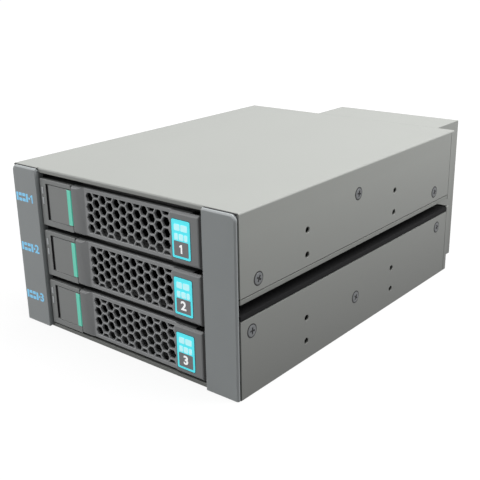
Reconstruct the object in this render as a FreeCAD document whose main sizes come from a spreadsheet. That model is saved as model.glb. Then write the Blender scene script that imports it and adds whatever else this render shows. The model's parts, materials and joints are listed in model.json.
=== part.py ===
import FreeCAD, Part
import math
import os
import re

import Sketcher
from FreeCAD import Placement, Rotation, Vector

# Hot swap drive cage for two 5.25 inch bays, with three 3.5 inch drive trays and a rear fan.
# Working frame: X to the right seen from the front, Y to the back, Z up. Y is 0 on the front edge of the
# sheet metal while a piece is drawn, and front_plane then moves every piece so that Y is 0 in mid-length.

DRIVING = [
    # steel housing
    ("case_width", 146.0, "width of a 5.25 inch device"),
    ("case_height", 85.0, "two half-height bays"),
    ("case_depth", 195.0, "front edge of the sheet metal to the rear panel's face"),
    ("sheet", 1.0, "steel sheet of every panel"),
    ("seam", 0.4, "open line between neighbouring panels"),
    ("bend", 0.9, "outside radius where a panel is folded"),
    ("cover_hem", 2.3, "folded front edge of the cover"),
    ("pan_hem", 1.9, "folded front edge of the pan"),
    ("slot_height", 4.8, "side slot for a case's bay tabs"),
    ("slot_seat", 5.6, "slot's floor sheet from the guide racks"),
    ("lip_height", 2.4, "strip of the mid rail above and below the slot"),
    ("lip_round", 0.6, "where the lip turns into the slot"),
    ("rear_flange", 3.4, "side flange of the rear panel"),
    # device holes of the two bays
    ("device_hole", 3.0, "diameter"),
    ("device_first", 48.3, "first hole behind the front edge"),
    ("device_along", 79.25, "hole to hole along the side"),
    ("device_low", 10.0, "lower bay's lower row above the underside"),
    ("device_up", 11.84, "row to row"),
    ("device_high", 10.7, "upper bay's lower row above mid height"),
    # flat head side screws
    ("screw_size", 3.0, "thread diameter"),
    ("screw_head", 5.6, "head diameter"),
    ("seat_width", 6.5, "countersink's diameter at the surface"),
    ("screw_length", 6.5, "under the sheet"),
    ("screw_play", 0.05, "radial, between a screw and its seat"),
    ("pilot_spare", 1.0, "hole deeper than its screw"),
    ("front_screw_up", 12.3, "upper front screw behind the front edge"),
    ("front_screw_down", 7.4, "lower front screw behind the front edge"),
    ("middle_screw", 91.4, "middle screws behind the front edge"),
    ("rear_screw_up", 21.5, "upper rear screw before the rear face"),
    ("rear_screw_down", 15.7, "lower rear screw before the rear face"),
    ("corner_up", 10.9, "upper corner screws above mid height"),
    ("corner_down", 11.5, "lower corner screws below mid height"),
    ("middle_drop", 13.2, "upper middle screw under the top"),
    ("middle_rise", 17.6, "lower middle screw above the underside"),
    ("screw_block", 8.0, "square block round a screw"),
    # front pillars
    ("pillar_proud", 2.0, "pillar face before the sheet metal"),
    ("pillar_face", 1.5, "thickness of the visible plate"),
    ("pillar_plug", 3.0, "part that plugs into the housing"),
    ("pillar_round", 3.0, "upper outer corner"),
    ("pillar_bevel", 0.7, "bevel round the face"),
    ("pillar_edge", 0.4, "pillar inside the outline of the housing"),
    ("plug_play", 0.15, "plug to sheet"),
    # guide racks
    ("rack_wall", 3.0, "side wall between a tray and the housing"),
    ("rib_reach", 1.8, "guide rib out of the wall"),
    ("rib_height", 2.4, "guide rib"),
    ("rib_drop", 8.9, "rib's middle under its tray's top"),
    ("rib_short", 2.0, "guide rib's end before the drive sockets"),
    ("guide_play", 0.3, "tray to rib, on each side"),
    # trays
    ("tray_first", 2.6, "lowest tray above the underside"),
    ("tray_top", 5.1, "highest tray under the top"),
    ("tray_between", 2.8, "open line between two trays"),
    ("tray_gap", 1.2, "tray to pillar"),
    ("face_recess", 1.8, "tray face behind the pillar faces"),
    ("bezel_depth", 8.5, "moulded front of a tray"),
    ("bezel_wall", 1.5, "its cross wall and shell"),
    ("drive_width", 101.6, "3.5 inch drive"),
    ("drive_play", 0.4, "drive to rail"),
    ("rail_wall", 2.0, "tray rail beside the drive"),
    ("rail_short", 6.3, "tray rail's end before the drive sockets"),
    ("rail_drop", 3.6, "rail under the tray's top"),
    ("rail_lift", 0.3, "rail above the tray's underside"),
    ("frame_plate", 1.5, "cross plate of the tray frame"),
    ("drive_hole", 3.4, "side screw of a 3.5 inch drive"),
    ("drive_along", 101.6, "side hole to side hole"),
    ("drive_hole_first", 21.5, "first side hole behind the frame's front"),
    ("drive_hole_rise", 6.6, "side holes above the tray's underside"),
    ("window_rim", 2.4, "solid rim above and below the air window"),
    ("clip_size", 4.0, "moulded clip that holds the frame"),
    # latch
    ("frame_side", 4.15, "left border of the tray face"),
    ("border_low", 3.0, "border under the latch"),
    ("border_high", 2.2, "border above the latch"),
    ("latch_slot", 1.55, "open slot left of the latch"),
    ("latch_width", 16.9, "latch plate"),
    ("latch_plate", 2.0, "latch thickness"),
    ("latch_play", 0.25, "latch to its pocket"),
    ("latch_travel", 1.4, "slide to the left"),
    ("latch_floor", 1.6, "wall between the pocket and the hollow"),
    ("stem_width", 5.0, "latch stem"),
    ("stem_height", 7.0, "latch stem"),
    ("stem_inset", 4.5, "stem behind the latch's left edge"),
    ("foot_margin", 2.5, "foot wider than the stem"),
    ("foot_rise", 1.2, "foot higher than the stem"),
    ("foot_depth", 3.0, "foot behind the floor"),
    ("stripe_width", 1.9, "coloured insert of the latch"),
    ("stripe_depth", 0.9, "its seat"),
    ("stripe_proud", 0.15, "out of the latch"),
    ("stripe_inset", 0.3, "from the latch's right edge"),
    ("spring_strip", 0.3, "leaf spring's thickness"),
    ("spring_height", 4.0, "leaf spring's width"),
    ("pipe_width", 1.3, "light pipe"),
    ("pipe_height", 3.6, "light pipe"),
    ("pipe_inset", 0.9, "light pipe from the tray's left edge"),
    ("pipe_drop", 4.1, "upper light pipe under the tray's top"),
    ("pipe_pitch", 5.2, "lower pipe to upper pipe"),
    ("pipe_hold", 0.1, "light pipe to its channel"),
    # lever
    ("lever_proud", 0.2, "bar and block before the tray face"),
    ("lever_seam", 0.4, "lever to the latch side"),
    ("bar_width", 4.4, "grip bar at the free end"),
    ("scoop_width", 3.6, "slope beside the bar"),
    ("mesh_recess", 1.4, "honeycomb behind the bar"),
    ("mesh_plate", 1.6, "honeycomb thickness"),
    ("rim_depth", 2.4, "stiffening rim behind the honeycomb"),
    ("rim_wall", 1.0, "stiffening rim"),
    ("cell_pitch", 5.2, "honeycomb cell to cell"),
    ("cell_web", 0.95, "web between two cells"),
    ("cell_margin", 1.0, "slope to the first cell"),
    ("block_width", 18.5, "raised block at the hinge"),
    ("block_bevel", 2.2, "right bevel of the block"),
    ("lever_bevel", 1.0, "upper and lower bevel"),
    ("lever_edge", 0.2, "lever's hinge end inside the tray's edge"),
    ("hinge_inset", 4.2, "pin from the tray's right edge"),
    ("hinge_depth", 4.4, "pin behind the lever's face"),
    ("knuckle_radius", 2.6, "round of the knuckle and the ears"),
    ("ear_end", 1.15, "ears from the tray's top and underside"),
    ("ear_height", 3.0, "ear above and below the knuckle"),
    ("ear_play", 0.3, "knuckle to ear"),
    ("pin_radius", 1.0, "hinge pin"),
    ("pin_play", 0.05, "radial, pin to knuckle"),
    # backplane
    ("board", 1.6, "circuit board"),
    ("board_back", 25.4, "board's front face before the rear face"),
    ("board_edge", 0.5, "board to its neighbours"),
    ("vent_reach", 11.0, "board's air vents left of the middle"),
    ("socket_width", 42.0, "drive socket"),
    ("socket_height", 6.0, "drive socket"),
    ("socket_reach", 8.0, "drive socket before the board"),
    ("tongue_rise", 1.8, "floor of the drive socket's slot"),
    ("socket_shift", 20.7, "drive socket right of the middle"),
    ("socket_rise", 4.2, "its middle above the tray's underside"),
    ("data_width", 16.6, "data socket"),
    ("data_height", 5.6, "data socket"),
    ("data_reach", 9.0, "data socket behind the board"),
    ("power_width", 22.4, "power socket"),
    ("power_height", 9.6, "power socket"),
    ("power_reach", 11.0, "power socket behind the board"),
    ("socket_wall", 1.0, "shell of the rear sockets"),
    ("socket_inset", 15.9, "rear sockets' middle from the board's left edge"),
    ("header_width", 7.6, "fan socket"),
    ("header_height", 5.8, "fan socket"),
    ("header_reach", 8.0, "fan socket"),
    ("standoff_radius", 2.8, "post between board and rear panel"),
    ("standoff_inset", 4.6, "posts from the board's edges"),
    ("small_screw", 1.25, "radius of the small screws"),
    ("small_head", 2.6, "radius of their heads"),
    ("small_head_high", 1.6, "height of their heads"),
    ("small_length", 6.0, "their shanks"),
    # rear panel
    ("window_side", 1.0, "cable window from the left guide rack"),
    ("window_fan", 7.0, "cable window from the fan's duct"),
    ("window_edge", 14.0, "cable window from the top and the underside"),
    ("panel_screw_in", 6.5, "rear panel screws from the sides"),
    ("panel_screw_edge", 12.0, "rear panel screws from the top and the underside"),
    # fan and its housing
    ("fan_room", 1.5, "square fan to its housing's top and underside"),
    ("fan_side", 10.75, "fan's housing from the right side"),
    ("fan_depth", 25.0, "fan"),
    ("duct_rim", 2.0, "duct to the fan's edge"),
    ("fan_barrel", 1.5, "wall of the duct"),
    ("fan_flange", 4.0, "square flanges"),
    ("fan_round", 4.0, "corner of the flanges"),
    ("fan_hole_inset", 4.25, "corner holes from the fan's edges"),
    ("fan_hole", 2.15, "radius of the corner holes"),
    ("fan_play", 0.25, "fan to its housing"),
    ("gasket", 2.0, "rubber frame before the fan"),
    ("strut_width", 3.5, "fan struts"),
    ("strut_depth", 3.0, "fan struts and motor plate"),
    ("motor_radius", 16.5, "motor plate"),
    ("hub_radius", 17.0, "rotor cup"),
    ("hub_wall", 1.5, "rotor cup"),
    ("hub_depth", 18.0, "rotor cup"),
    ("hub_front", 2.0, "rotor behind the fan's front"),
    ("tip_play", 1.1, "blade tip to duct"),
    ("blade_thick", 1.2, "blade"),
    ("blade_count", 7.0, "blades"),
    ("root_angle", 50.0, "blade's pitch at the hub, in degrees"),
    ("tip_angle", 33.0, "blade's pitch at the tip, in degrees"),
    ("root_chord", 15.5, "blade's width at the hub"),
    ("tip_chord", 22.0, "blade's width at the tip"),
    ("blade_sweep", 24.0, "blade's lean from hub to tip, in degrees"),
    ("shaft_radius", 1.5, "rotor shaft"),
    ("shaft_play", 0.05, "radial, shaft to bearing"),
    ("bearing_radius", 4.0, "bearing tube"),
    ("bearing_play", 0.6, "bearing tube behind the cup's floor"),
    ("guard_wire", 1.2, "finger guard"),
    ("guard_pitch", 9.5, "guard ring to ring"),
    ("guard_eye", 3.4, "radius of the guard's eyelets"),
    ("fan_screw", 1.9, "radius of the fan screws"),
    ("fan_screw_head", 3.2, "radius of their heads"),
    ("fan_head_high", 2.0, "height of their heads"),
]
NAMES = {name for name, number, note in DRIVING}
TRAYS = (1, 2, 3)

doc = FreeCAD.newDocument("drive_cage")
sizes = doc.addObject("Spreadsheet::Sheet", "sizes")
for row, (name, number, note) in enumerate(DRIVING, 1):
    sizes.set(f"A{row}", name)
    sizes.set(f"B{row}", str(number))
    sizes.setAlias(f"B{row}", name)
    sizes.set(f"C{row}", note)
doc.recompute()

# Places worked out from the driving dimensions, as expressions.
HALF = "(case_width / 2)"
INSIDE = "(case_width / 2 - sheet)"
MIDDLE = "(case_height / 2)"
TRAY_HALF = "(drive_width / 2 + drive_play + rail_wall)"
TRAY_HEIGHT = f"((case_height - tray_first - tray_top - {len(TRAYS) - 1} * tray_between) / {len(TRAYS)})"
TRAY_PITCH = f"({TRAY_HEIGHT} + tray_between)"
TRAY_MIDDLE = f"(tray_first + {TRAY_HEIGHT} / 2)"
OPENING = f"({TRAY_HALF} + tray_gap)"
RACK_OUT = f"({OPENING} + rack_wall)"
SLOT_FLOOR = f"({RACK_OUT} + slot_seat + sheet)"
PANEL_END = "(case_depth - rear_flange - seam)"
LIP_LOW = "(case_height / 2 - slot_height / 2 - lip_height)"
LIP_HIGH = "(case_height / 2 + slot_height / 2 + lip_height)"
TRAY_FACE = "(face_recess - pillar_proud)"
BEZEL_BACK = "(face_recess - pillar_proud + bezel_depth)"
LEVER_FACE = "(face_recess - pillar_proud - lever_proud)"
BOARD_FACE = "(case_depth - board_back)"
BOARD_REAR = "(case_depth - board_back + board)"
BOARD_HALF = f"({OPENING} - board_edge)"
SOCKET_X = f"(socket_inset - {BOARD_HALF})"
SOCKET_FRONT = f"({BOARD_FACE} - socket_reach)"
FAN_SIZE = "(case_height - 2 * sheet - 2 * fan_room)"
FAN_DUCT = f"({FAN_SIZE} / 2 - duct_rim)"
FAN_PITCH = f"({FAN_SIZE} - 2 * fan_hole_inset)"
FAN_X = f"({HALF} - fan_side - sheet - fan_play - {FAN_SIZE} / 2)"
FAN_FRONT = "(case_depth + gasket)"
FAN_REAR = "(case_depth + gasket + fan_depth)"
HOUSING_REAR = "(case_depth + gasket + fan_depth + sheet)"
GUARD_REAR = "(case_depth + gasket + fan_depth + sheet + guard_wire)"
REAR_END = "(case_depth + gasket + fan_depth + sheet + guard_wire + fan_head_high)"
FRONT_PLANE = f"((pillar_proud - {REAR_END}) / 2)"
SCREW_BACK = f"({INSIDE} - screw_length)"

pieces = []
drawn_at = {}


def bound(text):
    # point each size's name in an expression at its cell
    return re.sub(r"[a-z_]+", lambda word: f"sizes.{word[0]}" if word[0] in NAMES else word[0], text)


def number(text):
    return float(sizes.evalExpression(bound(text)))


def bind(thing, prop, text):
    thing.setExpression(prop, bound(text))


def place(thing, x="0", y="0", z="0"):
    drawn_at[thing.Name] = y
    bind(thing, "Placement.Base.x", x)
    bind(thing, "Placement.Base.y", y)
    bind(thing, "Placement.Base.z", z)


def piece(label, thing):
    # give a finished sub-part its name and move it from the drawing plane to its place
    thing.Label = label
    bind(thing, "Placement.Base.y", f"{drawn_at.get(thing.Name, '0')} + {FRONT_PLANE}")
    pieces.append(thing)


def tray_piece(name, thing):
    # name a sub-part of the lowest tray, and repeat it in the trays above
    piece(f"{name}_{len(TRAYS)}", thing)
    for tray in TRAYS[:-1]:
        copy = group([thing])
        copy.Label = f"{name}_{tray}"
        bind(copy, "Placement.Base.z", f"{len(TRAYS) - tray} * {TRAY_PITCH}")
        pieces.append(copy)


def box(x, y, z):
    # a block between a low and a high place on each axis
    block = doc.addObject("Part::Box", "block")
    for prop, (low, high) in zip(("Length", "Width", "Height"), (x, y, z)):
        bind(block, prop, f"({high}) - ({low})")
    place(block, x[0], y[0], z[0])
    return block


def side_box(side, x, y, z):
    # the same block on the left (-1) or the right (1), with x as distances from the middle plane
    near, far = x
    return box((near, far) if side > 0 else (f"-({far})", f"-({near})"), y, z)


TURNS = {"x": Rotation(Vector(0, 1, 0), 90), "y": Rotation(Vector(1, 0, 0), -90), "z": Rotation()}


def rod(axis, at, radius, length):
    # a cylinder that starts at a point and runs along +axis
    cylinder = doc.addObject("Part::Cylinder", "rod")
    cylinder.Placement = Placement(Vector(), TURNS[axis])
    bind(cylinder, "Radius", radius)
    bind(cylinder, "Height", length)
    place(cylinder, *at)
    return cylinder


def peg(axis, at, radius, length, sides=6):
    # a many-sided prism for round things that nothing measures, such as a shank and its hole
    prism = doc.addObject("Part::Prism", "peg")
    prism.Placement = Placement(Vector(), TURNS[axis])
    prism.Polygon = sides
    bind(prism, "Circumradius", radius)
    bind(prism, "Height", length)
    place(prism, *at)
    return prism


def skin(rings):
    # a closed solid with flat three-cornered faces between rings of corners
    corners = []
    for ring in (rings[0], rings[-1]):
        corners += [(ring[0], ring[i], ring[i + 1]) for i in range(1, len(ring) - 1)]
    for first, second in zip(rings, rings[1:]):
        for i in range(len(first)):
            j = (i + 1) % len(first)
            corners += [(first[i], first[j], second[j]), (first[i], second[j], second[i])]
    faces = [Part.Face(Part.makePolygon([a, b, c, a])) for a, b, c in corners]
    return Part.makeSolid(Part.makeShell(faces))


def sink(at, first, second, length):
    # a flat screw head or its seat: an eight sided cone along X
    turns = [math.radians(45 * i) for i in range(8)]
    rings = [
        [Vector(ahead, radius * math.cos(turn), radius * math.sin(turn)) for turn in turns]
        for radius, ahead in ((number(first), 0), (number(second), number(length)))
    ]
    cone = doc.addObject("Part::Feature", "sink")
    cone.Shape = skin(rings)
    place(cone, *at)
    return cone


def fuse(things):
    joined = doc.addObject("Part::MultiFuse", "joined")
    joined.Shapes = things
    joined.Refine = True
    return joined


def group(things):
    together = doc.addObject("Part::Compound", "together")
    together.Links = things
    return together


def cut(base, tools):
    left = doc.addObject("Part::Cut", "left")
    left.Base = base
    left.Tool = fuse(tools) if len(tools) > 1 else tools[0]
    left.Refine = True
    return left


def common(first, second):
    shared = doc.addObject("Part::Common", "shared")
    shared.Base = first
    shared.Tool = second
    return shared


def origin_plane(body, role):
    return next(plane for plane in body.Origin.OriginFeatures if plane.Role == role)


def outline(body, role, points, offset="0"):
    # a closed outline of straight edges, each corner held by two bound dimensions
    sketch = body.newObject("Sketcher::SketchObject", "outline")
    sketch.AttachmentSupport = (origin_plane(body, role), [""])
    sketch.MapMode = "FlatFace"
    bind(sketch, "AttachmentOffset.Base.z", offset)
    spots = [Vector(number(across), number(up), 0) for across, up in points]
    count = len(points)
    sketch.addGeometry([Part.LineSegment(spots[i], spots[(i + 1) % count]) for i in range(count)], False)
    sketch.addConstraint([Sketcher.Constraint("Coincident", i, 2, (i + 1) % count, 1) for i in range(count)])
    for i, corner in enumerate(points):
        for kind, text in zip(("DistanceX", "DistanceY"), corner):
            held = sketch.addConstraint(Sketcher.Constraint(kind, -1, 1, i, 1, number(text)))
            bind(sketch, f"Constraints[{held}]", text)
    return sketch


def pad(body, sketch, length, backwards=False):
    raised = body.newObject("PartDesign::Pad", "pad")
    raised.Profile = sketch
    raised.Reversed = backwards
    bind(raised, "Length", length)
    body.Tip = raised
    return raised


def new_body():
    return doc.addObject("PartDesign::Body", "solid")


def along_y(points, start, end):
    # a front outline (x, z) pulled back from start to end
    body = new_body()
    pad(body, outline(body, "XZ_Plane", points, f"-({start})"), f"({end}) - ({start})", backwards=True)
    return body


def along_z(points, start, end):
    # a plan outline (x, y) pulled up
    body = new_body()
    pad(body, outline(body, "XY_Plane", points, start), f"({end}) - ({start})")
    return body


def along_x(points, start, end):
    # a side outline (y, z) pulled to the right
    body = new_body()
    pad(body, outline(body, "YZ_Plane", points, start), f"({end}) - ({start})")
    return body


def along(edge, axis):
    # True for a straight edge that runs along the axis, and for every edge if no axis is asked for
    step = edge.Vertexes[0].Point - edge.Vertexes[-1].Point
    return axis is None or all(abs(getattr(step, other)) < 1e-4 for other in "xyz" if other != axis)


def dress(body, kind, prop, size, wanted, axis=None):
    # round or bevel the edges of a body's tip whose two ends both pass a test
    doc.recompute()
    tip = body.Tip
    names = [
        f"Edge{i}"
        for i, edge in enumerate(tip.Shape.Edges, 1)
        if along(edge, axis) and all(wanted(vertex.Point) for vertex in edge.Vertexes)
    ]
    feature = body.newObject(f"PartDesign::{kind}", kind.lower())
    feature.Base = (tip, names)
    bind(feature, prop, size)
    body.Tip = feature
    return feature


def near(place_now, text):
    return abs(place_now - number(text)) < 1e-4


def rectangle(x, z):
    return [(x[0], z[0]), (x[1], z[0]), (x[1], z[1]), (x[0], z[1])]


def tray_base(tray):
    # underside of a tray; the top one is number 1
    return f"(tray_first + {len(TRAYS) - tray} * {TRAY_PITCH})"


# ---------------------------------------------------------------- side screws and holes

SCREWS = {
    "front": [
        ("front_screw_up", f"({MIDDLE} + corner_up)"),
        ("front_screw_down", f"({MIDDLE} - corner_down)"),
    ],
    "rack": [
        ("middle_screw", "(case_height - middle_drop)"),
        ("(case_depth - rear_screw_up)", f"({MIDDLE} + corner_up)"),
        ("middle_screw", "middle_rise"),
        ("(case_depth - rear_screw_down)", f"({MIDDLE} - corner_down)"),
    ],
}
UPPER_SCREWS = [SCREWS["front"][0], SCREWS["rack"][0], SCREWS["rack"][1]]
LOWER_SCREWS = [SCREWS["front"][1], SCREWS["rack"][2], SCREWS["rack"][3]]


def screw_seats(spots):
    # conical holes through both side walls
    seats = []
    for y, z in spots:
        wide = "seat_width / 2"
        narrow = "screw_size / 2 + screw_play"
        seats.append(sink((INSIDE, y, z), narrow, wide, "sheet"))
        seats.append(sink((f"-{HALF}", y, z), wide, narrow, "sheet"))
    return seats


def device_holes(rise):
    # the four standard holes of a bay, drilled through both side walls at once
    return [
        rod("x", (f"-{HALF} - sheet", f"device_first + {along} * device_along", f"{rise} + {up} * device_up"),
            "device_hole / 2", "case_width + 2 * sheet")
        for along in (0, 1)
        for up in (0, 1)
    ]


def pilot_holes(side, spots):
    depth = "screw_length + pilot_spare"
    start = f"{INSIDE} - screw_length - pilot_spare" if side > 0 else f"-{INSIDE}"
    return [peg("x", (start, y, z), "screw_size / 2 + screw_play", depth, sides=8) for y, z in spots]


def make_side_screws():
    screws = []
    for y, z in UPPER_SCREWS + LOWER_SCREWS:
        for side in (-1, 1):
            if side > 0:
                head = sink((INSIDE, y, z), "screw_size / 2", "screw_head / 2", "sheet")
            else:
                head = sink((f"-{HALF}", y, z), "screw_head / 2", "screw_size / 2", "sheet")
            start = SCREW_BACK if side > 0 else f"-{INSIDE}"
            screws.append(fuse([head, peg("x", (start, y, z), "screw_size / 2", "screw_length", sides=8)]))
    piece("side_screws", group(screws))


# ---------------------------------------------------------------- housing

def make_cover():
    low = f"{LIP_HIGH} + seam"
    top = "case_height"
    body = along_y(
        [(f"-{HALF}", low), (f"-{INSIDE}", low), (f"-{INSIDE}", f"{top} - sheet"), (INSIDE, f"{top} - sheet"),
         (INSIDE, low), (HALF, low), (HALF, top), (f"-{HALF}", top)],
        "0", "case_depth")
    dress(body, "Fillet", "Radius", "bend", lambda p: near(p.z, top) and near(abs(p.x), HALF), "y")
    mouth = (f"-{OPENING} + seam / 2", f"{OPENING} - seam / 2")
    hem = along_y(rectangle(mouth, (f"{top} - cover_hem", top)), "0", "sheet")
    dress(hem, "Fillet", "Radius", "bend", lambda p: near(p.z, top) and near(p.y, "0"))
    front = box(mouth, ("0", "sheet"), (f"{top} - cover_hem", top))
    tails = [side_box(side, (INSIDE, f"{HALF} + sheet"), (PANEL_END, "case_depth + sheet"),
                      (low, f"{top} - sheet")) for side in (-1, 1)]
    trimmed = cut(body, tails + [front] + screw_seats(UPPER_SCREWS) + device_holes(f"{MIDDLE} + device_high"))
    piece("top_cover", fuse([trimmed, hem]))


def make_pan():
    high = f"{LIP_LOW} - seam"
    body = along_y(
        [(f"-{HALF}", "0"), (HALF, "0"), (HALF, high), (INSIDE, high), (INSIDE, "sheet"),
         (f"-{INSIDE}", "sheet"), (f"-{INSIDE}", high), (f"-{HALF}", high)],
        "0", "case_depth")
    dress(body, "Fillet", "Radius", "bend", lambda p: near(p.z, "0") and near(abs(p.x), HALF), "y")
    hem = box((f"-{OPENING} + seam / 2", f"{OPENING} - seam / 2"), ("0", "sheet"), ("0", "pan_hem"))
    tails = [side_box(side, (INSIDE, f"{HALF} + sheet"), (PANEL_END, "case_depth + sheet"), ("sheet", high))
             for side in (-1, 1)]
    trimmed = cut(fuse([body, hem]), tails + screw_seats(LOWER_SCREWS) + device_holes("device_low"))
    piece("base_pan", trimmed)


def make_mid_rail(side, label):
    # folded channel whose lips close the gap between pan and cover and whose web is the slot's floor
    low, high = f"({MIDDLE} - slot_height / 2)", f"({MIDDLE} + slot_height / 2)"
    back = f"({SLOT_FLOOR} - sheet)"
    half_profile = [
        (HALF, LIP_LOW), (HALF, low), (SLOT_FLOOR, low), (SLOT_FLOOR, high), (HALF, high), (HALF, LIP_HIGH),
        (INSIDE, LIP_HIGH), (INSIDE, f"{high} + sheet"), (back, f"{high} + sheet"), (back, f"{low} - sheet"),
        (INSIDE, f"{low} - sheet"), (INSIDE, LIP_LOW),
    ]
    rail = along_y([(f"{side} * ({x})", z) for x, z in half_profile], "0", PANEL_END)
    dress(rail, "Fillet", "Radius", "lip_round",
          lambda p: near(abs(p.x), HALF) and (near(p.z, low) or near(p.z, high)))
    piece(label, rail)


def rack_blocks(side):
    # screw blocks and the seat behind the mid rail
    blocks = []
    for y, z in SCREWS["rack"]:
        half = "screw_block / 2"
        blocks.append(side_box(side, (RACK_OUT, INSIDE), (f"{y} - {half}", f"{y} + {half}"),
                               (f"{z} - {half}", f"{z} + {half}")))
    blocks.append(side_box(side, (RACK_OUT, f"{SLOT_FLOOR} - sheet"), ("pillar_plug", PANEL_END),
                           (f"{MIDDLE} - slot_height / 2", f"{MIDDLE} + slot_height / 2")))
    return blocks


def make_rack(side, label):
    wall = side_box(side, (OPENING, RACK_OUT), ("pillar_plug", "case_depth - sheet"),
                    ("sheet", "case_height - sheet"))
    ribs = []
    for tray in TRAYS:
        middle = f"{tray_base(tray)} + {TRAY_HEIGHT} - rib_drop"
        ribs.append(side_box(side, (f"{OPENING} - rib_reach", OPENING),
                             (f"{BEZEL_BACK} + guide_play", f"{SOCKET_FRONT} - rib_short"),
                             (f"{middle} - rib_height / 2", f"{middle} + rib_height / 2")))
    ends = [side_box(side, (RACK_OUT, f"{HALF} - panel_screw_in + screw_block / 2"),
                     ("case_depth - sheet - small_length - pilot_spare", "case_depth - sheet"),
                     (f"{z} - screw_block / 2", f"{z} + screw_block / 2")) for z in PANEL_SCREW_HEIGHTS]
    x = f"{HALF} - panel_screw_in"
    rear_pilots = [
        peg("y", (x if side > 0 else f"-({x})", "case_depth - sheet - small_length - pilot_spare / 2", z),
            "small_screw + screw_play", "small_length + pilot_spare") for z in PANEL_SCREW_HEIGHTS]
    solid = fuse([wall] + ribs + rack_blocks(side) + ends)
    piece(label, cut(solid, pilot_holes(side, SCREWS["rack"]) + rear_pilots))


PANEL_SCREW_HEIGHTS = ("panel_screw_edge", "(case_height - panel_screw_edge)")


def make_pillar(side, label):
    # moulded cheek: a bevelled face plate, and a plug that the first screw of each side panel holds
    outer = f"({HALF} - pillar_edge)"
    top = "(case_height - pillar_edge)"
    front = "(-pillar_proud)"
    step = "(pillar_face - pillar_proud)"
    face = [(f"{side} * ({x})", z) for x, z in rectangle((OPENING, outer), ("seam / 2", top))]
    body = along_y(face, front, step)
    dress(body, "Fillet", "Radius", "pillar_round", lambda p: near(abs(p.x), outer) and near(p.z, top))
    dress(body, "Chamfer", "Size", "pillar_bevel",
          lambda p: near(p.y, front) and not near(p.z, "seam / 2") and not near(abs(p.x), OPENING))
    wall = f"({INSIDE} - plug_play)"
    plug = side_box(side, (OPENING, wall), (step, "pillar_plug"),
                    ("sheet + plug_play", "case_height - sheet - plug_play"))
    half = "screw_block / 2"
    blocks = [side_box(side, (f"{RACK_OUT} + plug_play", wall), ("pillar_plug", f"{y} + {half}"),
                       (f"{z} - {half}", f"{z} + {half}")) for y, z in SCREWS["front"]]
    relief = side_box(side, (f"{SLOT_FLOOR} - sheet - plug_play", f"{HALF} + sheet"),
                      ("0", "pillar_plug + sheet"), (f"{LIP_LOW} - plug_play", f"{LIP_HIGH} + plug_play"))
    solid = cut(fuse([plug] + blocks), [relief] + pilot_holes(side, SCREWS["front"]))
    piece(label, fuse([body, solid]))


def fan_corners():
    return [(f"{FAN_X} + {i} * {FAN_PITCH} / 2", f"{MIDDLE} + {j} * {FAN_PITCH} / 2")
            for i in (-1, 1) for j in (-1, 1)]


def standoff_spots():
    x = f"({BOARD_HALF} - standoff_inset)"
    low = "(sheet + board_edge + standoff_inset)"
    return [(f"{i} * {x}", z) for i in (-1, 1) for z in (low, f"(case_height - {low})")]


def panel_screw_spots():
    return [(f"{i} * ({HALF} - panel_screw_in)", z) for i in (-1, 1) for z in PANEL_SCREW_HEIGHTS]


def make_rear_panel():
    plate = box((f"-{HALF}", HALF), ("case_depth - sheet", "case_depth"), ("sheet", "case_height - sheet"))
    flanges = [side_box(side, (INSIDE, HALF), ("case_depth - rear_flange", "case_depth"),
                        ("sheet", "case_height - sheet")) for side in (-1, 1)]
    notches = [side_box(side, (SLOT_FLOOR, f"{HALF} + sheet"),
                        ("case_depth - rear_flange - sheet", "case_depth + sheet"),
                        (f"{MIDDLE} - slot_height / 2", f"{MIDDLE} + slot_height / 2")) for side in (-1, 1)]
    through = ("case_depth - 2 * sheet", "case_depth + sheet")
    window = box((f"window_side - {OPENING}", f"{FAN_X} - {FAN_DUCT} - window_fan"), through,
                 ("window_edge", "case_height - window_edge"))
    duct = rod("y", (FAN_X, through[0], MIDDLE), FAN_DUCT, "3 * sheet")
    holes = [peg("y", (x, through[0], z), "fan_screw + screw_play", "3 * sheet") for x, z in fan_corners()]
    holes += [peg("y", (x, through[0], z), "small_screw + screw_play", "3 * sheet")
              for x, z in panel_screw_spots()]
    piece("rear_panel", cut(fuse([plate] + flanges), notches + [window, duct] + holes))


def small_screws(label, spots, seat, reach):
    # pan heads on the seat plane; reach is 1 when the shanks point to +Y and -1 when they point to -Y
    screws = []
    for x, z in spots:
        head_start = f"{seat} - small_head_high" if reach > 0 else seat
        shank_start = seat if reach > 0 else f"{seat} - small_length"
        screws.append(fuse([peg("y", (x, head_start, z), "small_head", "small_head_high", sides=8),
                            peg("y", (x, shank_start, z), "small_screw", "small_length")]))
    piece(label, group(screws))


# ---------------------------------------------------------------- backplane

def make_board():
    plate = box((f"-{BOARD_HALF}", BOARD_HALF), (BOARD_FACE, BOARD_REAR),
                ("sheet + board_edge", "case_height - sheet - board_edge"))
    through = (f"{BOARD_FACE} - sheet", f"{BOARD_REAR} + sheet")
    vents = []
    for tray in TRAYS:
        low = f"({tray_base(tray)} + socket_rise + socket_height)"
        vents.append(box(("-vent_reach", f"{BOARD_HALF} - 2 * standoff_inset"), through,
                         (low, f"{tray_base(tray)} + {TRAY_HEIGHT} - window_rim")))
    holes = [peg("y", (x, through[0], z), "small_screw + screw_play", "board + 2 * sheet")
             for x, z in standoff_spots()]
    piece("backplane_board", cut(plate, vents + holes))


def make_standoffs():
    # hexagonal posts clinched to the rear panel, each with a blind threaded hole
    posts = []
    for x, z in standoff_spots():
        post = peg("y", (x, BOARD_REAR, z), "standoff_radius", "board_back - board - sheet", sides=6)
        bore = peg("y", (x, f"{BOARD_REAR} - sheet", z), "small_screw + screw_play",
                   "small_length + pilot_spare + sheet")
        posts.append(cut(post, [bore]))
    piece("board_standoffs", group(posts))


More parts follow.
